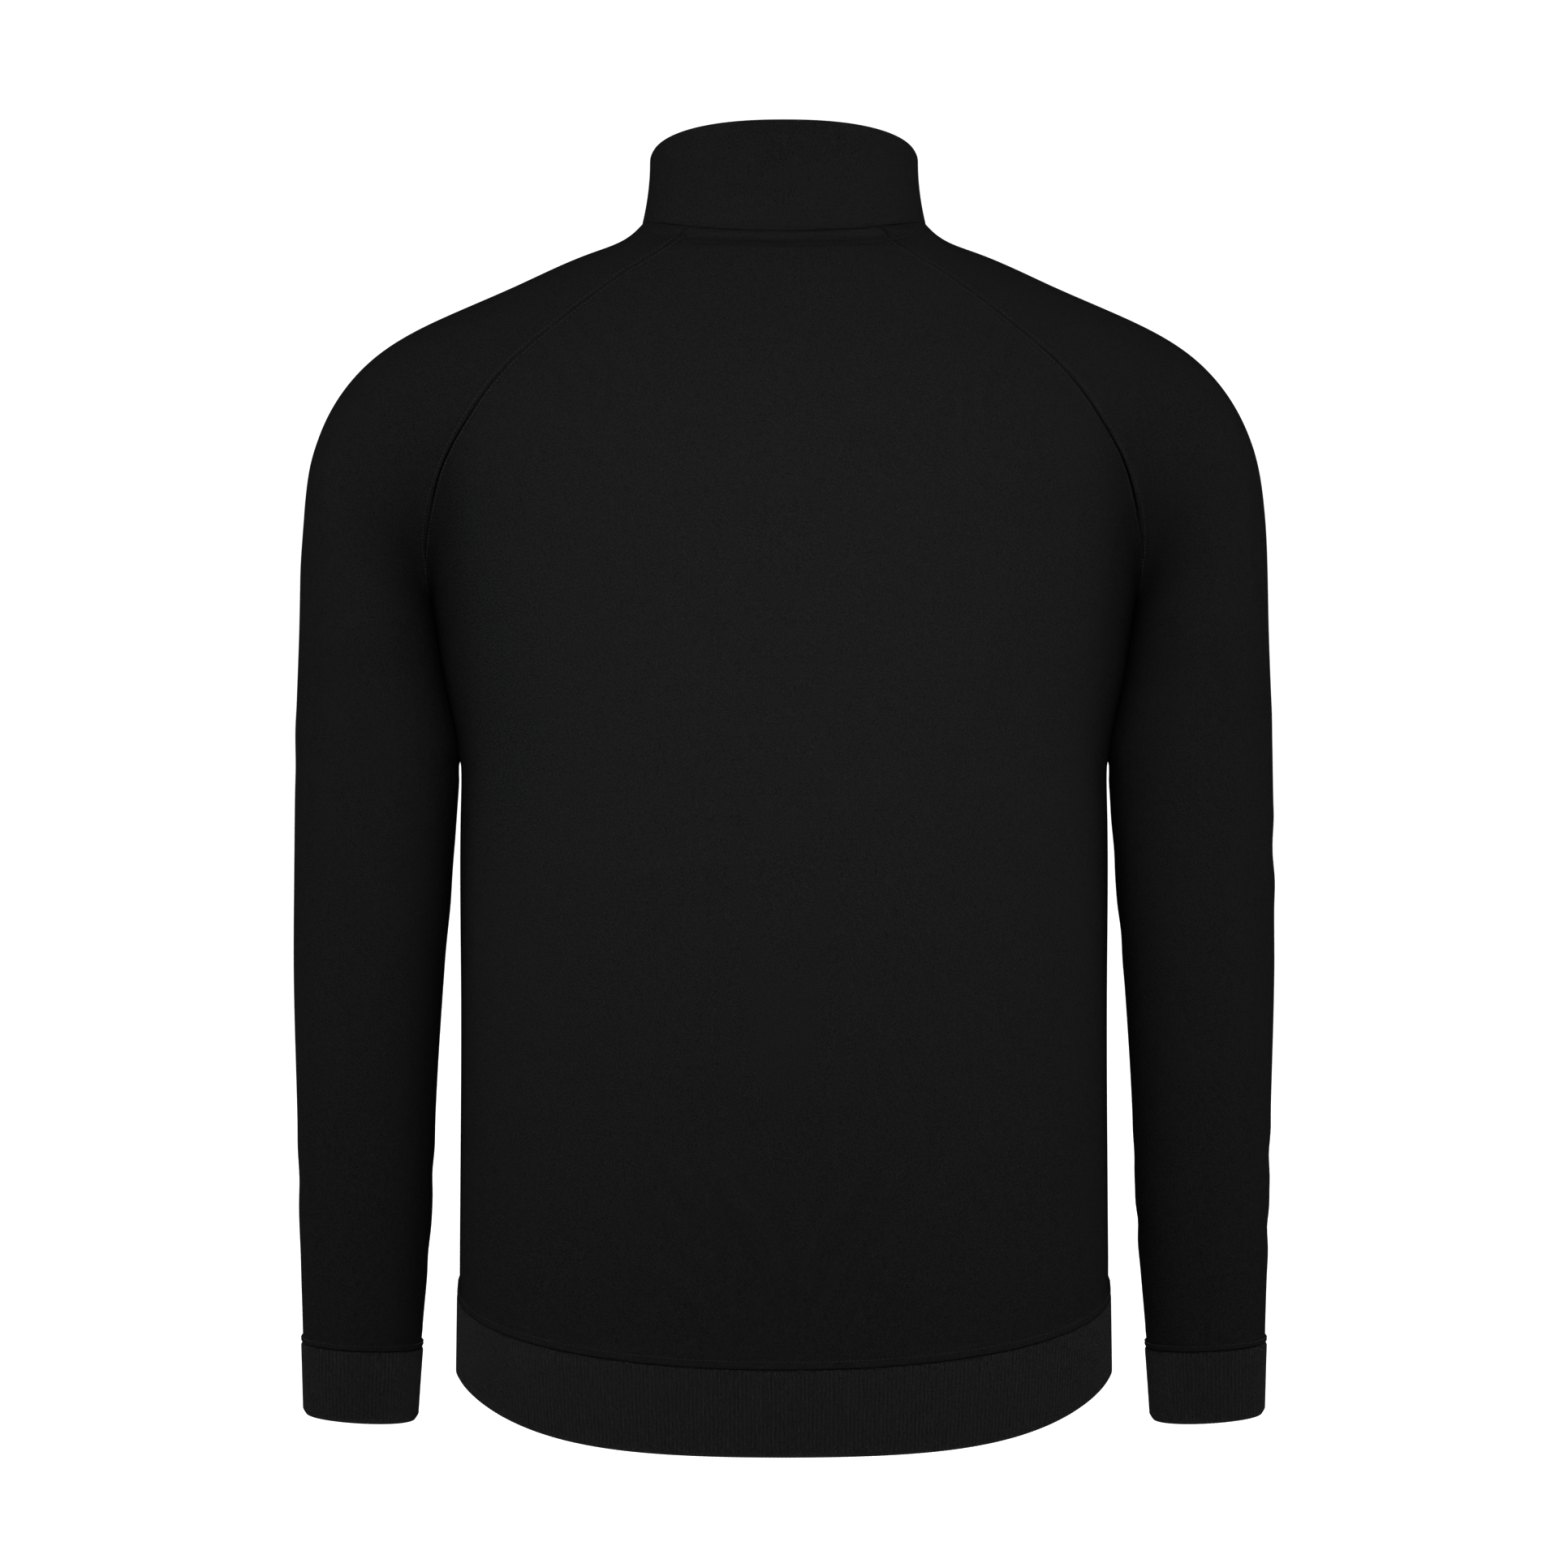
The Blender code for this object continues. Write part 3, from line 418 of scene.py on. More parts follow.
def seam_place(run, side):
    """The level and turn of the raglan seam, at the back (side 1) or the front (side -1)."""
    name = "back" if side > 0 else "front"
    return CAP_AT[name + "_level"](run), side * np.maximum(CAP_AT[name + "_turn"](run), 0)


def raglan(run, side):
    """Points of the raglan seam, from the underarm to the neck."""
    end = neck_ring(NECK, BACK_NECK_TURN if side > 0 else FRONT_NECK_TURN)
    lead = end - body(*seam_place(NECK_RUN, side))
    return body(*seam_place(run, side)) + neck_ease(run) * lead


def half_sleeve(run, share, side):
    """Points of half a sleeve section, from its seam (share 0) to its outer line (share 1)."""
    in_cap = run > ARM_RUN
    cap_run = np.maximum(run, ARM_RUN)
    inner = np.stack([INNER_AT["x"](run), SLEEVE_AT["y"](run), INNER_AT["z"](run)], -1)
    top = np.stack([SLEEVE_AT[name](run) for name in ("top_x", "y", "top_z")], -1)
    seam = np.where(in_cap[..., None], raglan(cap_run, side), inner)
    out = unit((top - seam) * (1, 0, 1))

    near = 0.0015
    x, z, out_x, out_z = seam[..., 0], seam[..., 2], out[..., 0], out[..., 2]
    fall = body_depth(x, z, side) - body_depth(x - near * out_x, z - near * out_z, side)
    fold = np.radians(np.clip(CAP_AT["fold"](cap_run), 0, 180))
    turned = np.minimum(np.arctan2(fall, near) + fold, pi / 2)
    leave = np.where(in_cap, turned, pi / 2)[..., None]
    across = np.array([0, side, 0])
    seam = seam + np.where(in_cap, UNDERARM_GAP * np.sin(fold / 2) ** 4, 0)[..., None] * (1, 0, 0)

    first = seam + SLEEVE_AT["seam_pull"](run)[..., None] * (np.cos(leave) * out + np.sin(leave) * across)
    second = top + SLEEVE_AT["top_pull"](run)[..., None] * across
    t = share[..., None]
    return (1 - t) ** 3 * seam + 3 * t * (1 - t) ** 2 * first + 3 * t**2 * (1 - t) * second + t**3 * top


def raw_sleeve(share, run):
    front = half_sleeve(run, np.clip(2 * share, 0, 1), -1)
    back = half_sleeve(run, np.clip(2 - 2 * share, 0, 1), 1)
    return np.where(share[..., None] < 0.5, front, back)


def sleeve(share, run):
    """Points of the left sleeve: share 0 is its front seam, a half its outer line, and 1 its back seam."""
    share, run = np.broadcast_arrays(np.asarray(share, float), np.asarray(run, float))
    turn = np.interp(share, (0, 0.5, 1), (FRONT_NECK_TURN, 0, BACK_NECK_TURN))
    lead = neck_ring(NECK, turn) - raw_sleeve(share, np.full_like(run, NECK_RUN))
    return raw_sleeve(share, run) + neck_ease(run) * lead


# The body's panels. Their height is the level up to the underarm, and goes on with the sleeve's run above it.

NECK_HEIGHT = UNDERARM + NECK_RUN - ARM_RUN


def run_at(height):
    return ARM_RUN + np.maximum(np.asarray(height, float) - UNDERARM, 0)


def panel_place(height, side):
    """The level and turn at which a panel's row starts: on the side seam, or on the raglan seam above it."""
    level, turn = seam_place(run_at(height), side)
    above = height > UNDERARM
    return np.where(above, level, height), np.where(above, turn, 0)


def back_panel(share, height):
    """Points of the back: share 0 is its left edge, and 1 its right edge."""
    share, height = np.broadcast_arrays(np.asarray(share, float), np.asarray(height, float))

    def raw(at):
        level, turn = panel_place(at, 1)
        return body(level, turn + (180 - 2 * turn) * share)

    turn = BACK_NECK_TURN + (180 - 2 * BACK_NECK_TURN) * share
    lead = neck_ring(NECK, turn) - raw(np.full_like(height, NECK_HEIGHT))
    return raw(height) + neck_ease(run_at(height)) * lead


def front_panel(share, height):
    """Points of the left front: share 0 is the middle of the zip, and 1 the side or raglan seam."""
    share, height = np.broadcast_arrays(np.asarray(share, float), np.asarray(height, float))

    def raw(at):
        level, turn = panel_place(at, -1)
        up = (run_at(at) - ARM_RUN) / (NECK_RUN - ARM_RUN)
        return body(level - FRONT_DROP * up**3 * smoothstep(1 - share), -90 + (90 + turn) * share)

    lead = neck_ring(NECK, -90 + (90 + FRONT_NECK_TURN) * share) - raw(np.full_like(height, NECK_HEIGHT))
    return raw(height) + neck_ease(run_at(height)) * lead


def hem(share, level):
    """Points of the hem band: share 0 is the middle of the zip, a half the back, and 1 the zip again."""
    return body(level, -90 + 360 * np.asarray(share, float))


def collar(share, up):
    """Points of the collar, from the neck seam (up 0) to its edge (up 1): share 0 and 1 are the zip."""
    share, up = np.broadcast_arrays(np.asarray(share, float), np.asarray(up, float))
    turn = -90 + 360 * share
    foot, edge = neck_ring(NECK, turn), neck_ring(EDGE, turn)
    drawn_in = (1 - (1 - up) ** 2)[..., None]
    points = foot + drawn_in * (edge - foot)
    points[..., 2] = foot[..., 2] + up * (edge[..., 2] - foot[..., 2])
    return points


def zip_line(share, height):
    """Points behind the zip: height is the level up to the neck, and then 1 more for the whole collar."""
    share, height = np.broadcast_arrays(np.asarray(share, float), np.asarray(height, float))
    up = height - NECK["front_z"]
    below = body(np.minimum(height, NECK["front_z"]), -90 + 90 * share)
    return np.where((up <= 0)[..., None], below, collar(share / 4, np.clip(up, 0, 1)))


def right_side(surface):
    """The same surface on the other side of the body."""

    def mirrored(share, height):
        return surface(1 - np.asarray(share, float), height) * (-1, 1, 1)

    return mirrored


# Creases and the profiles of sewn edges


def crease_depth(across, z, rows):
    """How deep the creases of one table are at these places, each fading out towards its ends."""
    depth = np.zeros_like(across)
    for from_across, from_z, to_across, to_z, bow, width, deep in np.array(rows) / 1000:
        way = np.array([to_across - from_across, to_z - from_z])
        length = np.hypot(*way)
        way /= length
        along = (across - from_across) * way[0] + (z - from_z) * way[1]
        off = (z - from_z) * way[0] - (across - from_across) * way[1]
        t = along / length
        off = off - 4 * bow * t * (1 - t)
        fade = smoothstep(t / 0.35 + 0.15) * smoothstep((1 - t) / 0.45 + 0.15)
        spread = width * (0.8 + 0.5 * np.clip(t, 0, 1))
        beyond = np.exp(-((np.clip(-along, 0, 1) + np.clip(along - length, 0, 1)) ** 2) / spread**2)
        trough = np.exp(-((off / spread) ** 2)) - 0.45 * np.exp(-(((np.abs(off) - 2 * spread) / spread) ** 2))
        depth += deep * trough * fade * beyond
    return depth


def pucker_depth(points):
    """The shallow, uneven gathers just above the hem band and the cuffs."""
    x, y, z = np.moveaxis(points, -1, 0)
    depth = np.zeros_like(x)
    on_body = np.abs(x) < BODY_SIDE
    above_hem = z - HEM_SEAM + y * BODY_AT["tilt"](HEM_SEAM)
    above_cuff = z - TUBE["top_z"][CUFF_SEAM_ROW]
    for above, there, turn, count in (
        (above_hem, on_body, np.arctan2(y, x), 37),
        (above_cuff, ~on_body, np.arctan2(y - TUBE["y"][CUFF_SEAM_ROW], np.abs(x) - CUFF_X), 13),
    ):
        ripple = np.sin(count * turn + 2.1 * np.sin(3 * turn)) + 0.6 * np.sin(1.7 * count * turn + 1)
        reach = PUCKER_REACH * (0.8 + 0.4 * np.sin(5 * turn + 0.6))
        fade = np.where(above > 0, np.exp(-((above / reach) ** 2)), 0) * smoothstep(above / 0.006)
        depth += np.where(there, PUCKER_DEPTH * ripple * fade, 0)
    return depth


def underarm_touch(points, normal):
    """How far the sleeve and the body's side swell to meet below the underarm, and the sleeve hangs in."""
    x, z = np.abs(points[..., 0]), points[..., 2]
    outward = normal[..., 0] * np.sign(points[..., 0])
    run = np.interp(z, INNER_Z, INNER_RUN)
    gap = np.maximum(INNER_AT["x"](run) - BODY_AT["half_width"](z), 0)
    meet = smoothstep((z - TOUCH_END) / TOUCH_FADE) * smoothstep((UNDERARM - z) / TOUCH_FADE)
    hang = SLEEVE_HANG * smoothstep((z - HANG_END) / 0.040) * smoothstep((HANG_TOP - z) / 0.012)
    of_sleeve = smoothstep((-outward - 0.55) / 0.4)
    of_body = smoothstep((outward - 0.75) / 0.25) * (x < BODY_REACH)
    return of_sleeve * (SLEEVE_SWELL * gap * meet + hang) + of_body * BODY_SWELL * gap * meet


def creases(points, normal):
    """How far creases move the cloth out at these points of its surface."""
    x, y, z = np.moveaxis(points, -1, 0)
    behind = smoothstep(0.5 + 1.6 * normal[..., 1])
    aside = smoothstep(1.6 * np.abs(normal[..., 0]) - 0.4) * smoothstep((np.abs(x) - 0.20) / 0.02)
    deep = behind * crease_depth(x, z, BACK_CREASES)
    deep += (1 - behind) * crease_depth(x, z, FRONT_CREASES)
    deep += aside * crease_depth(y + 0.012 * np.sign(x), z + 0.006 * np.sign(x), SIDE_CREASES)
    return underarm_touch(points, normal) - deep - pucker_depth(points)


def rolled(distance, ends, fullness):
    """How proud the bound strip below the collar stands: a soft roll between two furrows, the seam and its
    topstitching, which closes at its ends."""
    across = np.clip(1 - (2 * distance / NECK_STITCH - 1) ** 2, 0, 1) ** 0.5
    at_end = np.sqrt(1 - np.clip(1 - ends / 0.004, 0, 1) ** 2)
    beyond = smoothstep((distance - NECK_STITCH) / (NECK_EDGE - NECK_STITCH))
    pull = ROLL_STITCH * np.exp(-(((distance - NECK_STITCH) / STITCH_PULL) ** 2))
    return fullness * (ROLL * across * at_end - ROLL_FURROW * (1 - beyond) - pull)


def sewn(distance, welt=0.0, stitch=None, edge=0.006, depth=PLAIN_DEPTH):
    """How proud the cloth stands at a distance from a seam: turned in at the seam, then its welt, the furrow
    of its topstitching, and back to the plain cloth at edge."""
    turn = np.sqrt(1 - np.clip(1 - distance / SEAM_TURN, 0, 1) ** 2)
    proud = -depth * (1 - turn)
    if welt:
        last = edge if stitch is None else stitch
        proud = proud + welt * turn * smoothstep((edge - distance) / np.maximum(edge - last, 0.001))
    if stitch is not None:
        proud = proud - STITCH_DEPTH * np.exp(-(((distance - stitch) / STITCH_PULL) ** 2))
    return proud


# Grids of cloth


def facing(surface, shares, heights):
    """Unit normals of a surface, on its outer side."""
    near_share, near_height = 0.004, 0.0015
    left, right = np.maximum(shares - near_share, 0), np.minimum(shares + near_share, 1)
    below = np.maximum(heights - near_height, heights.min())
    above = np.minimum(heights + near_height, heights.max())
    along = surface(right, heights) - surface(left, heights)
    return unit(np.cross(along, surface(shares, above) - surface(shares, below)))


def columns_at(surface, heights, gaps, distances):
    """The shares at which each row has its columns. distances(length) gives them along a row's length."""
    fine = np.linspace(0, 1, ROW_POINTS)
    shares, places, lengths = [], [], []
    for height in heights:
        run = run_along(surface(fine, np.full_like(fine, height)))
        length = run[-1] - sum(gaps)
        place = distances(length)
        shares.append(np.interp(gaps[0] + place, run, fine))
        places.append(place)
        lengths.append(np.full_like(place, length))
    return np.array(shares), np.array(places), np.array(lengths)


# Where the columns or rows of a grid are next to an edge
FINE_EDGE = np.array([0, 0.12, 0.35, 0.7, 1.1, 1.8, 2.5, 3.0, 3.6, 4.3, 5.2, 6.6, 9.0]) / 1000
PLAIN_EDGE = np.array([0, 0.12, 0.35, 0.7, 1.1, 2.0, 4.0]) / 1000
FREE_EDGE = np.array([0, 2]) / 1000
RIB_EDGE = np.array([0, 0.8, 2.5]) / 1000
BAND_EDGE = np.array([0, 0.12, 0.35, 0.7, 1.1, 2.2, 3.4, 4.2, 5.0, 5.7, 6.6, 9.0]) / 1000
NECK_SEAM_EDGE = (
    np.array([0, 0.12, 0.4, 0.8, 1.4, 2.2, 3.0, 3.8, 4.6, 5.2, 5.6, 6.0, 6.4, 7.0, 7.8, 10.0]) / 1000
)


def even_columns(first, last, step, longest):
    """Gives each row the same number of columns, fine at its ends and even between."""
    count = max(2, round((longest - first[-1] - last[-1]) / step))

    def distances(length):
        middle = np.linspace(first[-1], length - last[-1], count + 1)
        return np.concatenate([first[:-1], middle, length - last[:-1][::-1]])

    return distances


def rows_between(low, high, first, last, step):
    """Row heights from low to high, fine at each end and even between."""
    count = max(2, round((high - low - first[-1] - last[-1]) / step))
    middle = np.linspace(low + first[-1], high - last[-1], count + 1)
    return np.concatenate([low + first[:-1], middle, high - last[:-1][::-1]])


def shell(name, points, normal, proud, cloth, closed_rows=0, rounded=(0, 0, 0, 0), inner_proud=None):
    """A closed thin shell. points is a grid of the piece's surface, and proud is how far its outer side
    stands off it. rounded is how far the bottom, top, left and right edges bulge. The first closed_rows rows
    run full circle."""
    outer = points + normal * proud[..., None]
    inner = points + normal * ((0 if inner_proud is None else inner_proud[..., None]) - cloth)
    row_count, column_count = proud.shape

    bulge = np.zeros_like(points)
    for amount, edge, inward in (
        (rounded[0], np.s_[0, :], np.s_[1, :]),
        (rounded[1], np.s_[-1, :], np.s_[-2, :]),
        (rounded[2], np.s_[closed_rows:, 0], np.s_[closed_rows:, 1]),
        (rounded[3], np.s_[closed_rows:, -1], np.s_[closed_rows:, -2]),
    ):
        bulge[edge] += amount * unit(points[edge] - points[inward])
    layers = [outer, 0.8 * outer + 0.2 * inner + 0.8 * bulge, 0.2 * outer + 0.8 * inner + 0.8 * bulge, inner]

    index = np.arange(4 * row_count * column_count).reshape(4, row_count, column_count)
    index[:, :closed_rows, -1] = index[:, :closed_rows, 0]

    def quads(a, b, c, d):
        return np.stack([a.ravel(), b.ravel(), c.ravel(), d.ravel()], -1)

    skin, lining = index[0], index[3]
    faces = [
        quads(skin[:-1, :-1], skin[:-1, 1:], skin[1:, 1:], skin[1:, :-1]),
        quads(lining[1:, :-1], lining[1:, 1:], lining[:-1, 1:], lining[:-1, :-1]),
    ]
    side = max(closed_rows - 1, 0)
    for upper, lower in zip(index[:-1], index[1:]):
        faces.append(quads(lower[0, :-1], lower[0, 1:], upper[0, 1:], upper[0, :-1]))
        faces.append(quads(upper[-1, :-1], upper[-1, 1:], lower[-1, 1:], lower[-1, :-1]))
        upper, lower = upper[side:], lower[side:]
        faces.append(quads(upper[:-1, 0], upper[1:, 0], lower[1:, 0], lower[:-1, 0]))
        faces.append(quads(lower[:-1, -1], lower[1:, -1], upper[1:, -1], upper[:-1, -1]))
    return mesh_piece(name, np.concatenate([layer.reshape(-1, 3) for layer in layers]), np.concatenate(faces))


def mesh_piece(name, points, faces):
    """A smooth mesh of these points and four-cornered faces, without the points that no face uses."""
    used, corners = np.unique(faces, return_inverse=True)
    mesh = bpy.data.meshes.new(name)
    mesh.from_pydata(points[used].tolist(), [], corners.reshape(faces.shape).tolist())
    mesh.shade_smooth()
    made = bpy.data.objects.new(name, mesh)
    bpy.context.scene.collection.objects.link(made)
    return made


def dress(piece, finish, nodes=()):
    """Gives a piece its material and its body, and hides the parts of the model that it stands for."""
    piece.data.materials.append(finish)
    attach(piece, "jacket")
    if nodes:
        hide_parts(*nodes)


# Materials


def new_material(name, tone, roughness, metallic=0.0, specular=0.0):
    """A Principled material and its node tree, shader and a texture coordinate node."""
    made = bpy.data.materials.new(name)
    made.use_nodes = True
    nodes = made.node_tree.nodes
    shader = nodes["Principled BSDF"]
    shader.inputs["Base Color"].default_value = (tone, tone, tone, 1)
    shader.inputs["Roughness"].default_value = roughness
    shader.inputs["Metallic"].default_value = metallic
    shader.inputs["Specular IOR Level"].default_value = specular
    place = nodes.new("ShaderNodeTexCoord")
    return made, made.node_tree, shader, place


def noise(tree, place, scale, detail=2.0, stretch=(1, 1, 1)):
    """The factor of a noise texture in object coordinates."""
    mapping = tree.nodes.new("ShaderNodeMapping")
    mapping.inputs["Scale"].default_value = stretch
    tree.links.new(place.outputs["Object"], mapping.inputs["Vector"])
    texture = tree.nodes.new("ShaderNodeTexNoise")
    texture.inputs["Scale"].default_value = scale
    texture.inputs["Detail"].default_value = detail
    tree.links.new(mapping.outputs["Vector"], texture.inputs["Vector"])
    return texture.outputs["Fac"]


def wave(tree, place, direction, scale, distortion):
    """The factor of a texture of soft bands in object coordinates."""
    texture = tree.nodes.new("ShaderNodeTexWave")
    texture.wave_type = "BANDS"
    texture.bands_direction = direction
    texture.inputs["Scale"].default_value = scale
    texture.inputs["Distortion"].default_value = distortion
    texture.inputs["Detail"].default_value = 2
    tree.links.new(place.outputs["Object"], texture.inputs["Vector"])
    return texture.outputs["Fac"]


def tint(tree, shader, factor, tone, shares, span=(0.3, 0.7)):
    """Lets a factor vary the base colour, over its span, between two shares of a tone."""
    ramp = tree.nodes.new("ShaderNodeValToRGB")
    for element, share, position in zip(ramp.color_ramp.elements, shares, span):
        element.position = position
        element.color = (*np.broadcast_to(np.multiply(share, tone), 3), 1)
    tree.links.new(factor, ramp.inputs["Fac"])
    tree.links.new(ramp.outputs["Color"], shader.inputs["Base Color"])


def bumps(tree, shader, *layers):
    """Chains bump nodes: each layer is a factor, its height in metres and its strength."""
    normal = None
    for factor, height, strength in layers:
        bump = tree.nodes.new("ShaderNodeBump")
        bump.inputs["Distance"].default_value = height
        bump.inputs["Strength"].default_value = strength
        tree.links.new(factor, bump.inputs["Height"])
        if normal:
            tree.links.new(normal, bump.inputs["Normal"])
        normal = bump.outputs["Normal"]
    tree.links.new(normal, shader.inputs["Normal"])


def fleece(name, tone):
    """Matt, lightly brushed jersey: fine mottled grain over a faint knit."""
    made, tree, shader, place = new_material(name, tone, 0.97)
    grain = noise(tree, place, 1120, 1.5)
    cloud = noise(tree, place, 60, 3)
    nap = noise(tree, place, 2600, 2)
    tint(tree, shader, grain, tone, (0.50, 1.52), (0.28, 0.72))
    bumps(tree, shader, (cloud, 0.0010, 0.04), (grain, 0.0003, 0.40), (nap, 0.0001, 0.40))
    return made


def rib_knit(name, tone):
    """Rib knit: rows of small stitches across each rib, and a mottled yarn."""
    made, tree, shader, place = new_material(name, tone, 0.95)
    rows = wave(tree, place, "Z", 260, 1.5)
    grain = noise(tree, place, 1100, 3)
    tint(tree, shader, grain, tone, (0.5, 1.55), (0.28, 0.72))
    bumps(tree, shader, (rows, 0.0003, 0.35), (grain, 0.0003, 0.5))
    return made


def yarn(name, tone):
    """Polyester sewing thread, with the slant of its twist."""
    made, tree, shader, place = new_material(name, tone, 0.7, specular=0.05)
    twist = noise(tree, place, 2200, 1, (1, 1, 0.4))
    tint(tree, shader, twist, tone, (0.7, 1.4))
    bumps(tree, shader, (twist, 0.0002, 0.4))
    return made


def woven(name, tone):
    """The zip's tape: a fine twill along its length."""
    made, tree, shader, place = new_material(name, tone, 0.8, specular=0.06)
    twill = wave(tree, place, "DIAGONAL", 420, 0.6)
    grain = noise(tree, place, 1800, 2)
    tint(tree, shader, grain, tone, (0.75, 1.3))
    bumps(tree, shader, (twill, 0.0002, 0.5), (grain, 0.0001, 0.4))
    return made


def enamel(name, tone):
    """Black enamelled zinc: smooth, with faint wear and small dents."""
    made, tree, shader, place = new_material(name, tone, 0.34, metallic=0.85, specular=0.5)
    wear = noise(tree, place, 320, 4)
    tint(tree, shader, wear, tone, (0.8, (1.5, 1.5, 1.55)), (0.35, 0.75))
    bumps(tree, shader, (wear, 0.0002, 0.12))
    return made


def plastic(name, tone):
    """Moulded teeth."""
    made, tree, shader, place = new_material(name, tone, 0.42, specular=0.45)
    grain = noise(tree, place, 1200, 2)
    tint(tree, shader, grain, tone, (0.85, 1.2))
    bumps(tree, shader, (grain, 0.0001, 0.15))
    return made


BODY_FLEECE = fleece("body_fleece", 0.0066)
# The sleeves' fleece is the body's cloth made a shade darker: painted shade.
SLEEVE_FLEECE_PAINTED_SHADE = fleece("sleeve_fleece_painted_shade", 0.0064)
# The collar's fleece is the body's cloth made a shade lighter: painted light.
COLLAR_FLEECE_PAINTED_LIGHT = fleece("collar_fleece_painted_light", 0.0069)
RIBS = rib_knit("rib_knit", 0.0122)
THREADS = yarn("thread", 0.0125)
# The neck's stitches are the same thread made darker, so that their furrow reads dark: painted shade.
NECK_THREADS_PAINTED_SHADE = yarn("neck_thread_painted_shade", 0.0060)
TAPE = woven("zip_tape_weave", 0.010)
METAL = enamel("zip_enamel", 0.040)
TEETH = plastic("zip_teeth", 0.012)


# The cloth pieces

HALF_SEAM = SEAM / 2
RAGLAN_START = UNDERARM + 0.027  # the height where the raglan's topstitching starts


def raglan_share(heights):
    """1 where the raglan seams are topstitched, and 0 below."""
    return smoothstep((heights - RAGLAN_START) / 0.006)


def near_underarm(heights):
    """1 at the foot of the raglan seams' topstitching, and 0 further up."""
    return smoothstep((RAGLAN_START + CLOSED_END - heights) / CLOSED_FADE)


def raglan_stitch(heights):
    """How far the topstitching is from the raglan seam."""
    return RAGLAN_STITCH + RAGLAN_SPREAD * near_underarm(heights)


def seam_profile(place, length, rows, foot, top, heights, fullness, band):
    """How proud a panel's outer side stands, from the distances to its edges. band is the distance from the
    rib band to its topstitching, and to the plain cloth."""
    proud = sewn(rows - foot, BAND_WELT, *band, SEAM_DEPTH)
    proud = proud + rolled(top - rows, np.minimum(place, length - place), fullness)
    stitched, stitch = raglan_share(heights), raglan_stitch(heights)
    fuller = UNDERARM_WELT * near_underarm(heights)
    depth = PLAIN_DEPTH + (SEAM_DEPTH - PLAIN_DEPTH) * smoothstep((heights - RAGLAN_START) / DEEPENING)
    for distance in (place, length - place):
        plain = sewn(distance)
        raised = sewn(distance, WELT, stitch, stitch + RAGLAN_EDGE, depth)
        swell = fuller * smoothstep(distance / SWELL_START) * smoothstep((SWELL_END - distance) / SWELL_FADE)
        proud = proud + plain + stitched * (raised - plain + swell)
    return proud


def cloth_piece(name, surface, heights, gaps, foot, top, underarm, closed_rows=0, rounded=(0, 0, 0, 0)):
    """A shell of plain cloth on this surface, from its foot to its top. underarm is the row at the height of
    the underarm."""
    fine = np.linspace(0, 1, ROW_POINTS // 3)
    widest = max(run_along(surface(fine, np.full_like(fine, height)))[-1] for height in heights[::8])
    distances = even_columns(FINE_EDGE, FINE_EDGE, COLUMN, widest)
    shares, place, length = columns_at(surface, heights, gaps, distances)
    rows = np.broadcast_to(heights[:, None], shares.shape)
    points, normal = surface(shares, rows), facing(surface, shares, rows)
    moved = creases(points, normal)
    ends = np.minimum(place, length - place)
    fullness = 1 - smoothstep(ends / STRIP_FADE) if closed_rows else 1.0
    band = (CUFF_STITCH, CUFF_EDGE) if closed_rows else (HEM_STITCH, HEM_EDGE)
    levels = rows - underarm + UNDERARM
    proud = moved + seam_profile(place, length, rows, foot, top, levels, fullness, band)
    nearest = np.minimum(np.minimum(ends / np.maximum(raglan_share(levels), 0.01), rows - foot), top - rows)
    inner = moved - ALLOWANCE * (1 - smoothstep(nearest / ALLOWANCE_WIDTH))
    return shell(name, points, normal, proud, CLOTH, closed_rows, rounded, inner_proud=inner)


def make_back():
    heights = rows_between(HEM_SEAM + HALF_SEAM, NECK_HEIGHT - HALF_SEAM, BAND_EDGE, NECK_SEAM_EDGE, ROW)
    gaps = (HALF_SEAM, HALF_SEAM)
    piece = cloth_piece("back_cloth", back_panel, heights, gaps, HEM_SEAM, NECK_HEIGHT, UNDERARM)
    dress(piece, BODY_FLEECE, nodes=["back"])


def make_front(side, surface):
    heights = rows_between(HEM_SEAM + HALF_SEAM, NECK_HEIGHT - HALF_SEAM, BAND_EDGE, NECK_SEAM_EDGE, ROW)
    left = side == "left"
    gaps = (ZIP_GAP, HALF_SEAM) if left else (HALF_SEAM, ZIP_GAP)
    bulge = CLOTH / 2
    rounded = (0, 0, bulge, 0) if left else (0, 0, 0, bulge)
    name = "front_cloth_" + side
    piece = cloth_piece(name, surface, heights, gaps, HEM_SEAM, NECK_HEIGHT, UNDERARM, rounded=rounded)
    dress(piece, BODY_FLEECE, nodes=["front_" + side])


def make_sleeve(side, surface):
    low, high = CUFF_SEAM_RUN + HALF_SEAM, NECK_RUN - HALF_SEAM
    below = rows_between(low, ARM_RUN, BAND_EDGE, FREE_EDGE, ROW)
    above = rows_between(ARM_RUN, high, FREE_EDGE, NECK_SEAM_EDGE, ROW)
    heights = np.concatenate([below, above[1:]])
    name, gaps, tube = "sleeve_cloth_" + side, (HALF_SEAM, HALF_SEAM), len(below)
    piece = cloth_piece(name, surface, heights, gaps, CUFF_SEAM_RUN, NECK_RUN, ARM_RUN, tube)
    dress(piece, SLEEVE_FLEECE_PAINTED_SHADE, nodes=["sleeve_" + side])


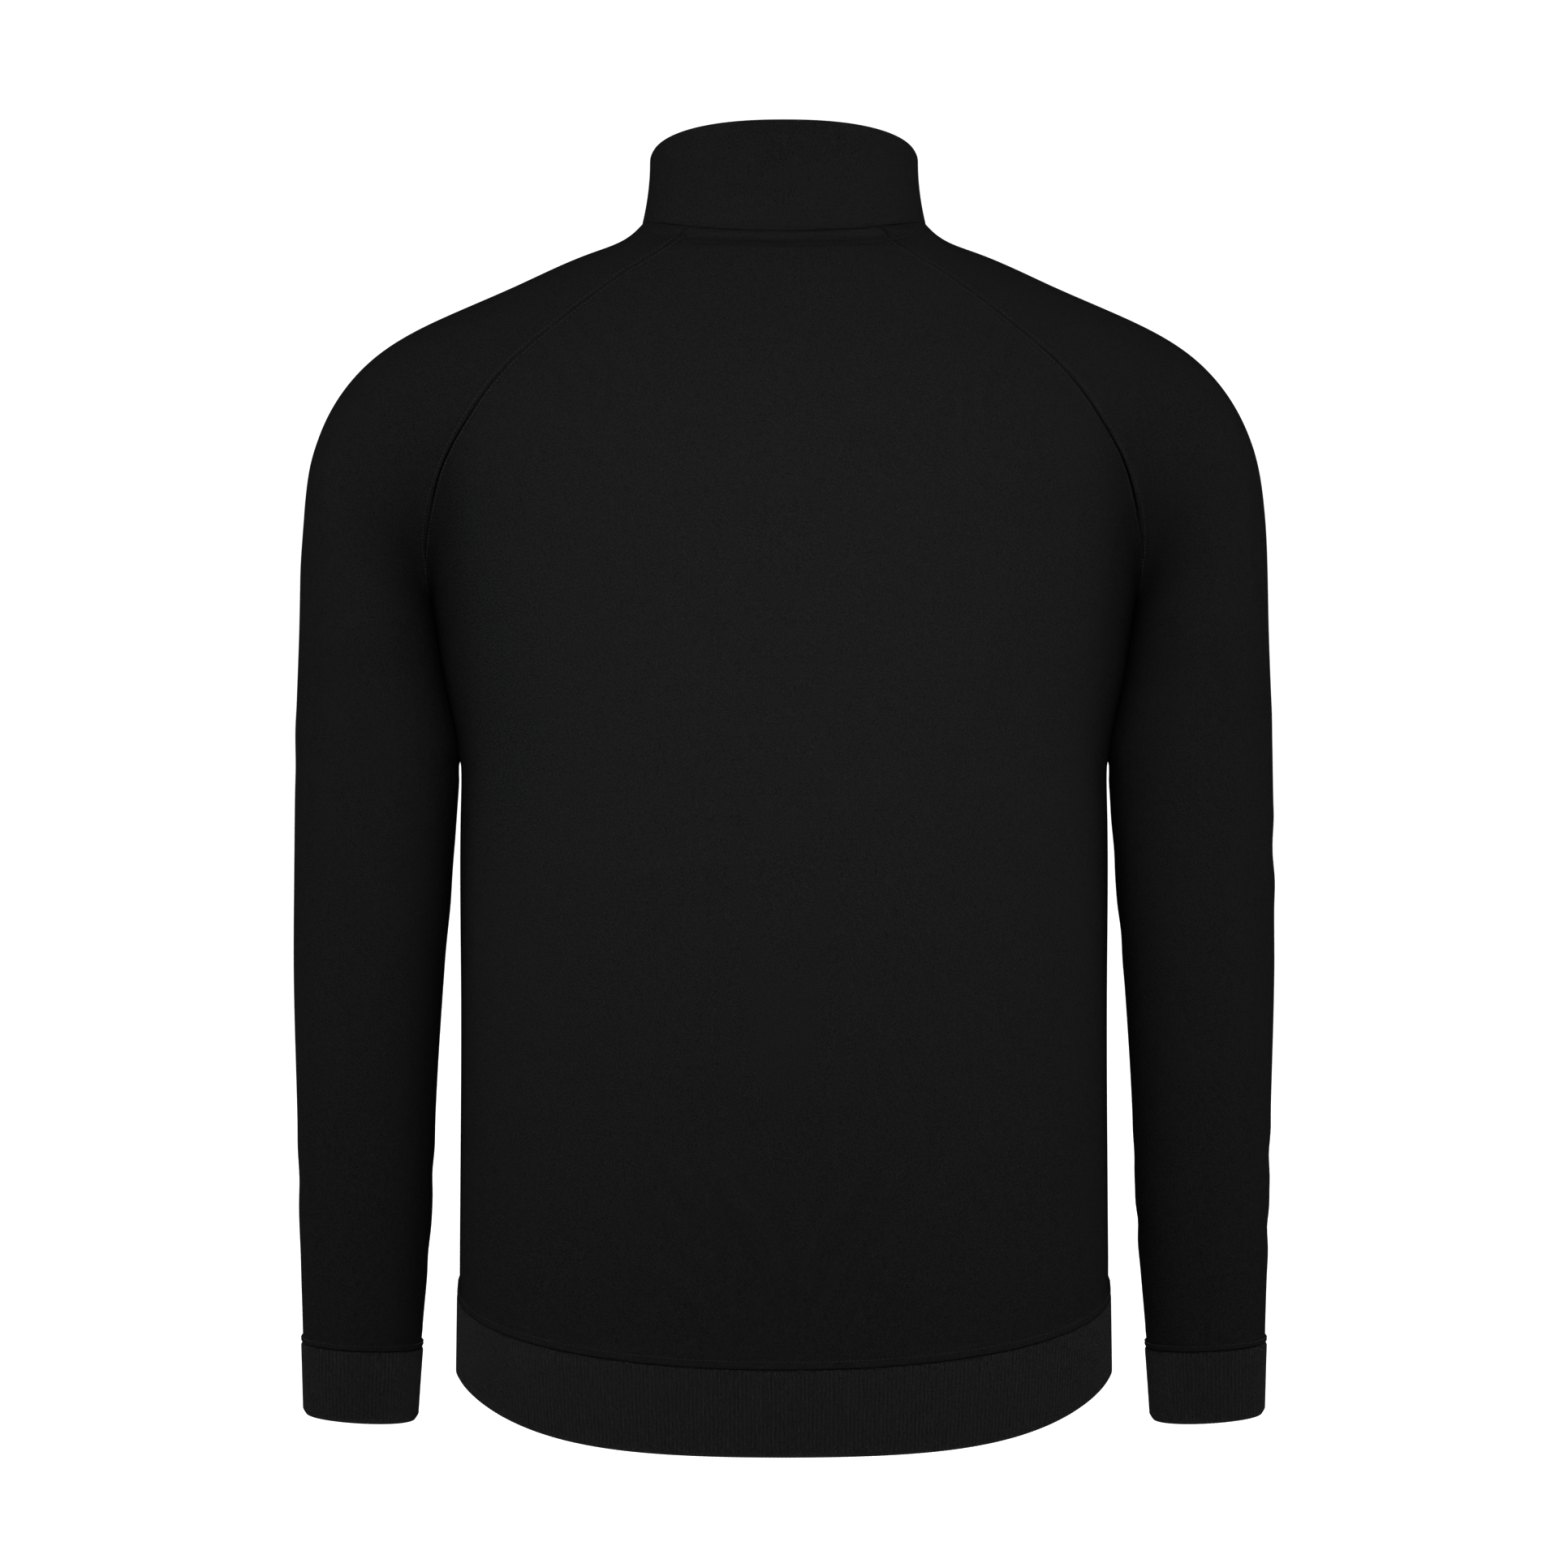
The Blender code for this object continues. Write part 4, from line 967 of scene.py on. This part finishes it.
def make_collar():
    edges = (PLAIN_EDGE / COLLAR_HEIGHT, FREE_EDGE / COLLAR_HEIGHT)
    heights = rows_between(0, 1, *edges, COLLAR_ROW / COLLAR_HEIGHT)
    distances = even_columns(FINE_EDGE, FINE_EDGE, COLLAR_COLUMN, 0.49)
    shares, place, length = columns_at(collar, heights, (ZIP_GAP, ZIP_GAP), distances)
    rows = np.broadcast_to(heights[:, None], shares.shape)
    points, normal = collar(shares, rows), facing(collar, shares, rows)
    proud = sewn(rows * COLLAR_HEIGHT)
    for distance in (place, length - place):
        proud = proud - STITCH_DEPTH * np.exp(-(((distance - ZIP_STITCH) / STITCH_PULL) ** 2))
    bulge = COLLAR_CLOTH / 2
    piece = shell("collar_cloth", points, normal, proud, COLLAR_CLOTH, rounded=(0, bulge, bulge, bulge))
    dress(piece, COLLAR_FLEECE_PAINTED_LIGHT, nodes=["collar"])


def rib_band(name, surface, low, high, gap, closed):
    """A band of rib knit: rounded ribs outside and shallow ones inside, with a folded edge at its foot."""
    heights = rows_between(low, high, RIB_EDGE, PLAIN_EDGE, RIB_ROW)
    fine = np.linspace(0, 1, BAND_POINTS)
    length = run_along(surface(fine, np.full_like(fine, (low + high) / 2)))[-1]
    ribs = round((length - 2 * gap) / RIB_PITCH)
    even = np.linspace(0, 1, RIB_COLUMNS * ribs + 1)
    shares, place, _ = columns_at(surface, heights, (gap, gap), lambda whole: whole * even)
    rows = np.broadcast_to(heights[:, None], shares.shape)
    points, normal = surface(shares, rows), facing(surface, shares, rows)
    ripple = np.cos(2 * pi * ribs * even)
    rib = RIB_HEIGHT * (1 - np.clip(0.5 + 0.5 * ripple, 0, 1) ** 1.1)
    soft = smoothstep((rows - low + 0.0012) / 0.004)
    proud = rib * soft + sewn(high - rows, depth=SEAM_DEPTH) - RIB_FOLD * (1 - soft)
    inner = RIB_INSIDE * ripple * np.ones_like(proud)
    closed_rows = len(heights) if closed else 0
    bulge = KNIT / 2
    rounded = (bulge, 0, 0, 0) if closed else (bulge, 0, bulge, bulge)
    return shell(name, points, normal, proud, KNIT, closed_rows, rounded, inner_proud=inner)


def make_hem():
    piece = rib_band("hem_rib", hem, HEM_END, HEM_SEAM - HALF_SEAM, ZIP_GAP, False)
    dress(piece, RIBS, nodes=["hem_band"])


def make_cuff(side, surface):
    piece = rib_band("cuff_rib_" + side, surface, 0, CUFF_SEAM_RUN - HALF_SEAM, 0, True)
    dress(piece, RIBS, nodes=["cuff_" + side])


# Topstitching


def between(run, values, where):
    """Rows of three values, known at the distances run, at other distances along the same line."""
    return np.stack([np.interp(where, run, values[:, i]) for i in range(3)], -1)


def stitch_mesh(name, lines):
    """Joined stitches along each line of points and normals: short arched threads with buried ends."""
    around = 6
    rings = np.array([-1, -0.82, -0.4, 0.4, 0.82, 1]) * STITCH_LENGTH / 2
    thick = np.array([0.25, 0.8, 1, 1, 0.8, 0.25]) * THREAD
    lift = np.array([-0.30, -0.04, 0.06, 0.06, -0.04, -0.30]) / 1000
    angles = np.linspace(0, 2 * pi, around, endpoint=False)
    ring = np.arange(len(rings) - 1)[:, None] * around
    here, beside = np.arange(around), (np.arange(around) + 1) % around
    quads = np.stack([ring + here, ring + beside, ring + around + beside, ring + around + here], -1)
    last = (len(rings) - 1) * around
    first_cap = np.array([[0, 3, 2, 1], [0, 5, 4, 3]])
    last_cap = last + np.array([[0, 1, 2, 3], [0, 3, 4, 5]])
    faces_of_one = np.concatenate([quads.reshape(-1, 4)[:, ::-1], first_cap, last_cap])
    shuffle = np.random.default_rng(4)
    points, faces, count = [], [], 0
    for line, normals in lines:
        run = run_along(line)
        total = int(run[-1] / STITCH_PITCH)
        middles = (np.arange(total) + 0.5) * run[-1] / total
        centre, up = between(run, line, middles), between(run, normals, middles)
        way = unit(between(run, line, middles + NEAR) - between(run, line, middles - NEAR))
        side = unit(np.cross(up, way))
        up = np.cross(way, side)
        slant = SLANT + SLANT_SPREAD * shuffle.standard_normal((total, 1))
        way = way + slant * side
        centre = centre + STRAY * shuffle.standard_normal((total, 1)) * side
        spine = centre[:, None] + rings[None, :, None] * way[:, None] + lift[None, :, None] * up[:, None]
        spoke = np.cos(angles)[:, None] * side[:, None] + np.sin(angles)[:, None] * up[:, None]
        tube = spine[:, :, None] + thick[None, :, None, None] * spoke[:, None]
        points.append(tube.reshape(-1, 3))
        size = len(rings) * around
        faces.append((faces_of_one[None] + (count + np.arange(total) * size)[:, None, None]).reshape(-1, 4))
        count += total * size
    return mesh_piece(name, np.concatenate(points), np.concatenate(faces))


def line_up(surface, from_end, distance, heights, lift):
    """A line of stitches up a panel, at a distance from its first edge, or from its last."""
    fine = np.linspace(0, 1, ROW_POINTS)
    shares = []
    for height, off in zip(heights, np.broadcast_to(distance, heights.shape)):
        run = run_along(surface(fine, np.full_like(fine, height)))
        shares.append(np.interp(run[-1] - off if from_end else off, run, fine))
    shares, rows = np.array(shares)[:, None], heights[:, None]
    points, normal = surface(shares, rows), facing(surface, shares, rows)
    lift = np.broadcast_to(lift, heights.shape)[:, None]
    line = points + normal * (creases(points, normal) + lift)[..., None]
    return line[:, 0], normal[:, 0]


def line_across(surface, height, low, high, lift):
    """A line of stitches along a row of a panel, between two of its shares."""
    shares = np.linspace(low, high, RING_POINTS)
    rows = np.full_like(shares, height)
    points = surface(shares, rows)
    normal = unit(np.cross(np.gradient(points, axis=0), surface(shares, rows + 0.001) - points))
    return points + normal * (creases(points, normal) + lift)[..., None], normal


def make_topstitching():
    right_front, right_sleeve = right_side(front_panel), right_side(sleeve)
    sunk = 0.6 * THREAD - STITCH_DEPTH

    levels = np.linspace(RAGLAN_START + 0.004, NECK_HEIGHT - 0.001, LINE_POINTS)
    off, lift = raglan_stitch(levels), WELT + sunk + UNDERARM_WELT * near_underarm(levels)
    for name, heights, panels in (
        ("back", levels, ((back_panel, False), (back_panel, True))),
        ("front", levels, ((front_panel, True), (right_front, False))),
        (
            "sleeve",
            levels - UNDERARM + ARM_RUN,
            ((sleeve, False), (sleeve, True), (right_sleeve, False), (right_sleeve, True)),
        ),
    ):
        lines = [line_up(surface, from_end, off, heights, lift) for surface, from_end in panels]
        dress(stitch_mesh("raglan_stitches_" + name, lines), THREADS)

    height, run = NECK_HEIGHT - NECK_STITCH, NECK_RUN - NECK_STITCH
    lift = 0.4 * THREAD - ROLL_FURROW - ROLL_STITCH
    neck = [
        line_across(back_panel, height, 0.01, 0.99, lift),
        line_across(front_panel, height, 0.10, 0.98, lift),
        line_across(right_front, height, 0.02, 0.90, lift),
        line_across(sleeve, run, 0.03, 0.97, lift),
        line_across(right_sleeve, run, 0.03, 0.97, lift),
    ]
    # The neck's stitches take the darkened thread: painted shade in their furrow.
    dress(stitch_mesh("neck_stitches", neck), NECK_THREADS_PAINTED_SHADE)

    height, run, lift = HEM_SEAM + HEM_STITCH, CUFF_SEAM_RUN + CUFF_STITCH, BAND_WELT + sunk
    foot = [
        line_across(back_panel, height, 0.005, 0.995, lift),
        line_across(front_panel, height, 0.03, 0.995, lift),
        line_across(right_front, height, 0.005, 0.97, lift),
        line_across(sleeve, run, 0.01, 0.99, lift),
        line_across(right_sleeve, run, 0.01, 0.99, lift),
    ]
    dress(stitch_mesh("band_stitches", foot), THREADS)

    off = ZIP_GAP + ZIP_STITCH
    levels = np.linspace(HEM_SEAM + 0.004, NECK_HEIGHT - 0.003, LINE_POINTS)
    shares = np.linspace(0.03, 0.97, LINE_POINTS)
    beside_zip = [
        line_up(front_panel, False, off, levels, sunk),
        line_up(right_front, True, off, levels, sunk),
        line_up(collar, False, off, shares, sunk),
        line_up(collar, True, off, shares, sunk),
    ]
    dress(stitch_mesh("zip_stitches", beside_zip), THREADS)


# The zip


def make_tape(side):
    sign = 1 if side == "left" else -1
    levels = np.linspace(HEM_END + BOX_HEIGHT + 0.0003, NECK["front_z"], 150)
    heights = np.append(levels, NECK["front_z"] + TAPE_TOP * np.linspace(0.04, 1, 24))
    shares, fine = [], np.linspace(0, 1, BAND_POINTS)
    for height in heights:
        points = zip_line(fine, np.full_like(fine, height))
        shares.append(np.interp(np.linspace(TAPE_START, TAPE_WIDTH, 9), points[:, 0], fine))
    shares = np.array(shares)
    rows = np.broadcast_to(heights[:, None], shares.shape)
    points, normal = zip_line(shares, rows), facing(zip_line, shares, rows)
    points, normal = points * (sign, 1, 1), normal * (sign, 1, 1)
    if sign < 0:
        points, normal = points[:, ::-1], normal[:, ::-1]
    proud = np.full(points.shape[:2], -TAPE_DEPTH)
    piece = shell("zip_tape_cloth_" + side, points, normal, proud, TAPE_DEPTH + TAPE_CLOTH)
    dress(piece, TAPE, nodes=["zip_tape_" + side])


def make_teeth():
    """Two rows of moulded teeth that mesh in the middle, from the box up to the slider."""
    low = HEM_END + BOX_HEIGHT + 0.001
    levels = np.linspace(low, NECK["front_z"], 600)
    heights = np.append(levels, NECK["front_z"] + TAPE_TOP * np.linspace(0.01, 0.80, 60))
    spine = zip_line(np.zeros_like(heights), heights) * (0, 1, 1)
    run = run_along(spine)
    count = int(run[-1] / TOOTH_PITCH)
    box = np.array([(x, y, z) for z in (-1, 1) for x, y in ((-1, -1), (1, -1), (1, 1), (-1, 1))], float)
    sides = np.array([[0, 3, 2, 1], [4, 5, 6, 7], [0, 1, 5, 4], [1, 2, 6, 5], [2, 3, 7, 6], [3, 0, 4, 7]])
    points, faces = [], []
    for sign in (1, -1):
        for i in range(count):
            at = (i + (0.5 if sign > 0 else 0.0) + 0.25) * TOOTH_PITCH
            place, ahead = between(run, spine, at), between(run, spine, at + 0.001)
            up = unit(ahead - place)
            out = np.cross((1, 0, 0), up)
            across = sign * (TOOTH_WIDTH / 2 - TOOTH_MESH)
            middle = place - out * (TAPE_DEPTH - TOOTH_DEPTH / 2) + (across, 0, 0)
            taper = np.where(box[:, :1] * sign < 0, TOOTH_TAPER, 1.0)
            x, y, z = (box * (TOOTH_WIDTH / 2, TOOTH_DEPTH / 2, TOOTH_HEIGHT / 2)).T[..., None]
            corners = middle + x * (1, 0, 0) + y * out + z * taper * up
            faces.append(sides + 8 * len(points))
            points.append(corners)
    teeth = mesh_piece("zip_teeth_rows", np.concatenate(points), np.concatenate(faces))
    teeth.data.shade_flat()
    bevel = teeth.modifiers.new("soft edges", "BEVEL")
    bevel.width = TOOTH_EDGE
    bevel.segments = 2
    dress(teeth, TEETH)


def finish_hardware():
    for node in ("zip_slider", "zip_pull", "zip_box"):
        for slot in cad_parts[node].material_slots:
            slot.material = METAL


# Camera, backdrop and light


def make_backdrop():
    """A pale floor that sweeps up into a wall at both ends, and glows softly there."""
    angles = np.linspace(0, pi / 2, 40)
    out, rise = SWEEP_DEPTH * np.sin(angles), SWEEP_HEIGHT * (1 - np.cos(angles))
    y = np.concatenate([(SWEEP_START[1] + out)[::-1], SWEEP_START[0] - out])
    z = FLOOR + np.concatenate([rise[::-1], rise])
    x = np.array([-FLOOR_REACH, FLOOR_REACH])
    points = np.stack(np.broadcast_arrays(x[None, :], y[:, None], z[:, None]), -1).reshape(-1, 3)
    index = np.arange(len(points)).reshape(-1, 2)
    faces = np.stack([index[:-1, 0], index[1:, 0], index[1:, 1], index[:-1, 1]], -1)
    backdrop = mesh_piece("backdrop", points, faces)

    finish, tree, shader, place = new_material("backdrop_paint", 0.80, 0.9, specular=0.1)
    tint(tree, shader, noise(tree, place, 40, 2), 1.0, (0.795, 0.805))
    axes = tree.nodes.new("ShaderNodeSeparateXYZ")
    tree.links.new(place.outputs["Object"], axes.inputs["Vector"])
    along = tree.nodes.new("ShaderNodeMapRange")
    along.inputs["From Min"].default_value, along.inputs["From Max"].default_value = SWEEP_START
    tree.links.new(axes.outputs["Y"], along.inputs["Value"])
    glow = tree.nodes.new("ShaderNodeValToRGB")
    glow.color_ramp.interpolation = "EASE"
    whole = SWEEP_START[1] - SWEEP_START[0]
    stops = [(0, GLOW[0])] + [((y - SWEEP_START[0]) / whole, 0) for y in GLOW_END] + [(1, GLOW[1])]
    while len(glow.color_ramp.elements) < len(stops):
        glow.color_ramp.elements.new(1)
    for element, (position, strength) in zip(glow.color_ramp.elements, stops):
        element.position = position
        element.color = (strength, strength, strength, 1)
    tree.links.new(along.outputs["Result"], glow.inputs["Fac"])
    tree.links.new(glow.outputs["Color"], shader.inputs["Emission Strength"])
    shader.inputs["Emission Color"].default_value = (1, 1, 1, 1)
    backdrop.data.materials.append(finish)


def softbox(name, place, target, size, watts, spread=180):
    """A rectangular area light at a place, turned towards its target."""
    data = bpy.data.lights.new(name, "AREA")
    data.shape = "RECTANGLE"
    data.size, data.size_y = size
    data.energy = watts
    data.spread = radians(spread)
    made = bpy.data.objects.new(name, data)
    made.location = place
    way = np.array(target, float) - place
    yaw = np.arctan2(way[1], way[0])
    pitch = np.arctan2(way[2], np.hypot(way[0], way[1]))
    made.rotation_euler = (pi / 2 + pitch, 0, yaw - pi / 2)
    bpy.context.scene.collection.objects.link(made)


def make_light():
    """The same soft lights at the back and the front, one at each side, and an even surround."""
    for behind, name in ((1, "back"), (-1, "front")):
        softbox(name + "_key", (0, 2.6 * behind, 0.5), (0, 0, -0.15), (2.4, 1.0), 17.3)
        softbox(name + "_spot", (0, 2.9 * behind, 0.5), (0, 0, -0.30), (0.35, 0.35), 0.886, 20)
        for side, beside in ((1, "left"), (-1, "right")):
            place = (0.10 * side, 2.9 * behind, 0.5)
            softbox(f"{name}_{beside}_spot", place, (0.10 * side, 0, -0.10), (0.4, 0.4), 0.229, 24)
    for side, beside in ((1, "left"), (-1, "right")):
        softbox(beside + "_side", (3.0 * side, 0, 0.6), (0.28 * side, 0, -0.25), (1.0, 1.0), 4.2, 60)
    world = bpy.data.worlds.new("studio")
    world.use_nodes = True
    world.node_tree.nodes["Background"].inputs["Color"].default_value = (1, 1, 1, 1)
    world.node_tree.nodes["Background"].inputs["Strength"].default_value = SURROUND
    bpy.context.scene.world = world
    bpy.context.scene.view_settings.view_transform = "Standard"


def make_camera():
    data = bpy.data.cameras.new("camera")
    data.sensor_width = 36
    data.lens = 36 * FOCAL_PIXELS / IMAGE_WIDTH
    made = bpy.data.objects.new("camera", data)
    made.location = CAMERA
    made.rotation_euler = (pi / 2, 0, pi)
    bpy.context.scene.collection.objects.link(made)
    bpy.context.scene.camera = made


make_camera()
make_back()
make_front("left", front_panel)
make_front("right", right_side(front_panel))
make_sleeve("left", sleeve)
make_sleeve("right", right_side(sleeve))
make_collar()
make_hem()
make_cuff("left", sleeve)
make_cuff("right", right_side(sleeve))
make_topstitching()
make_tape("left")
make_tape("right")
make_teeth()
finish_hardware()
make_backdrop()
make_light()
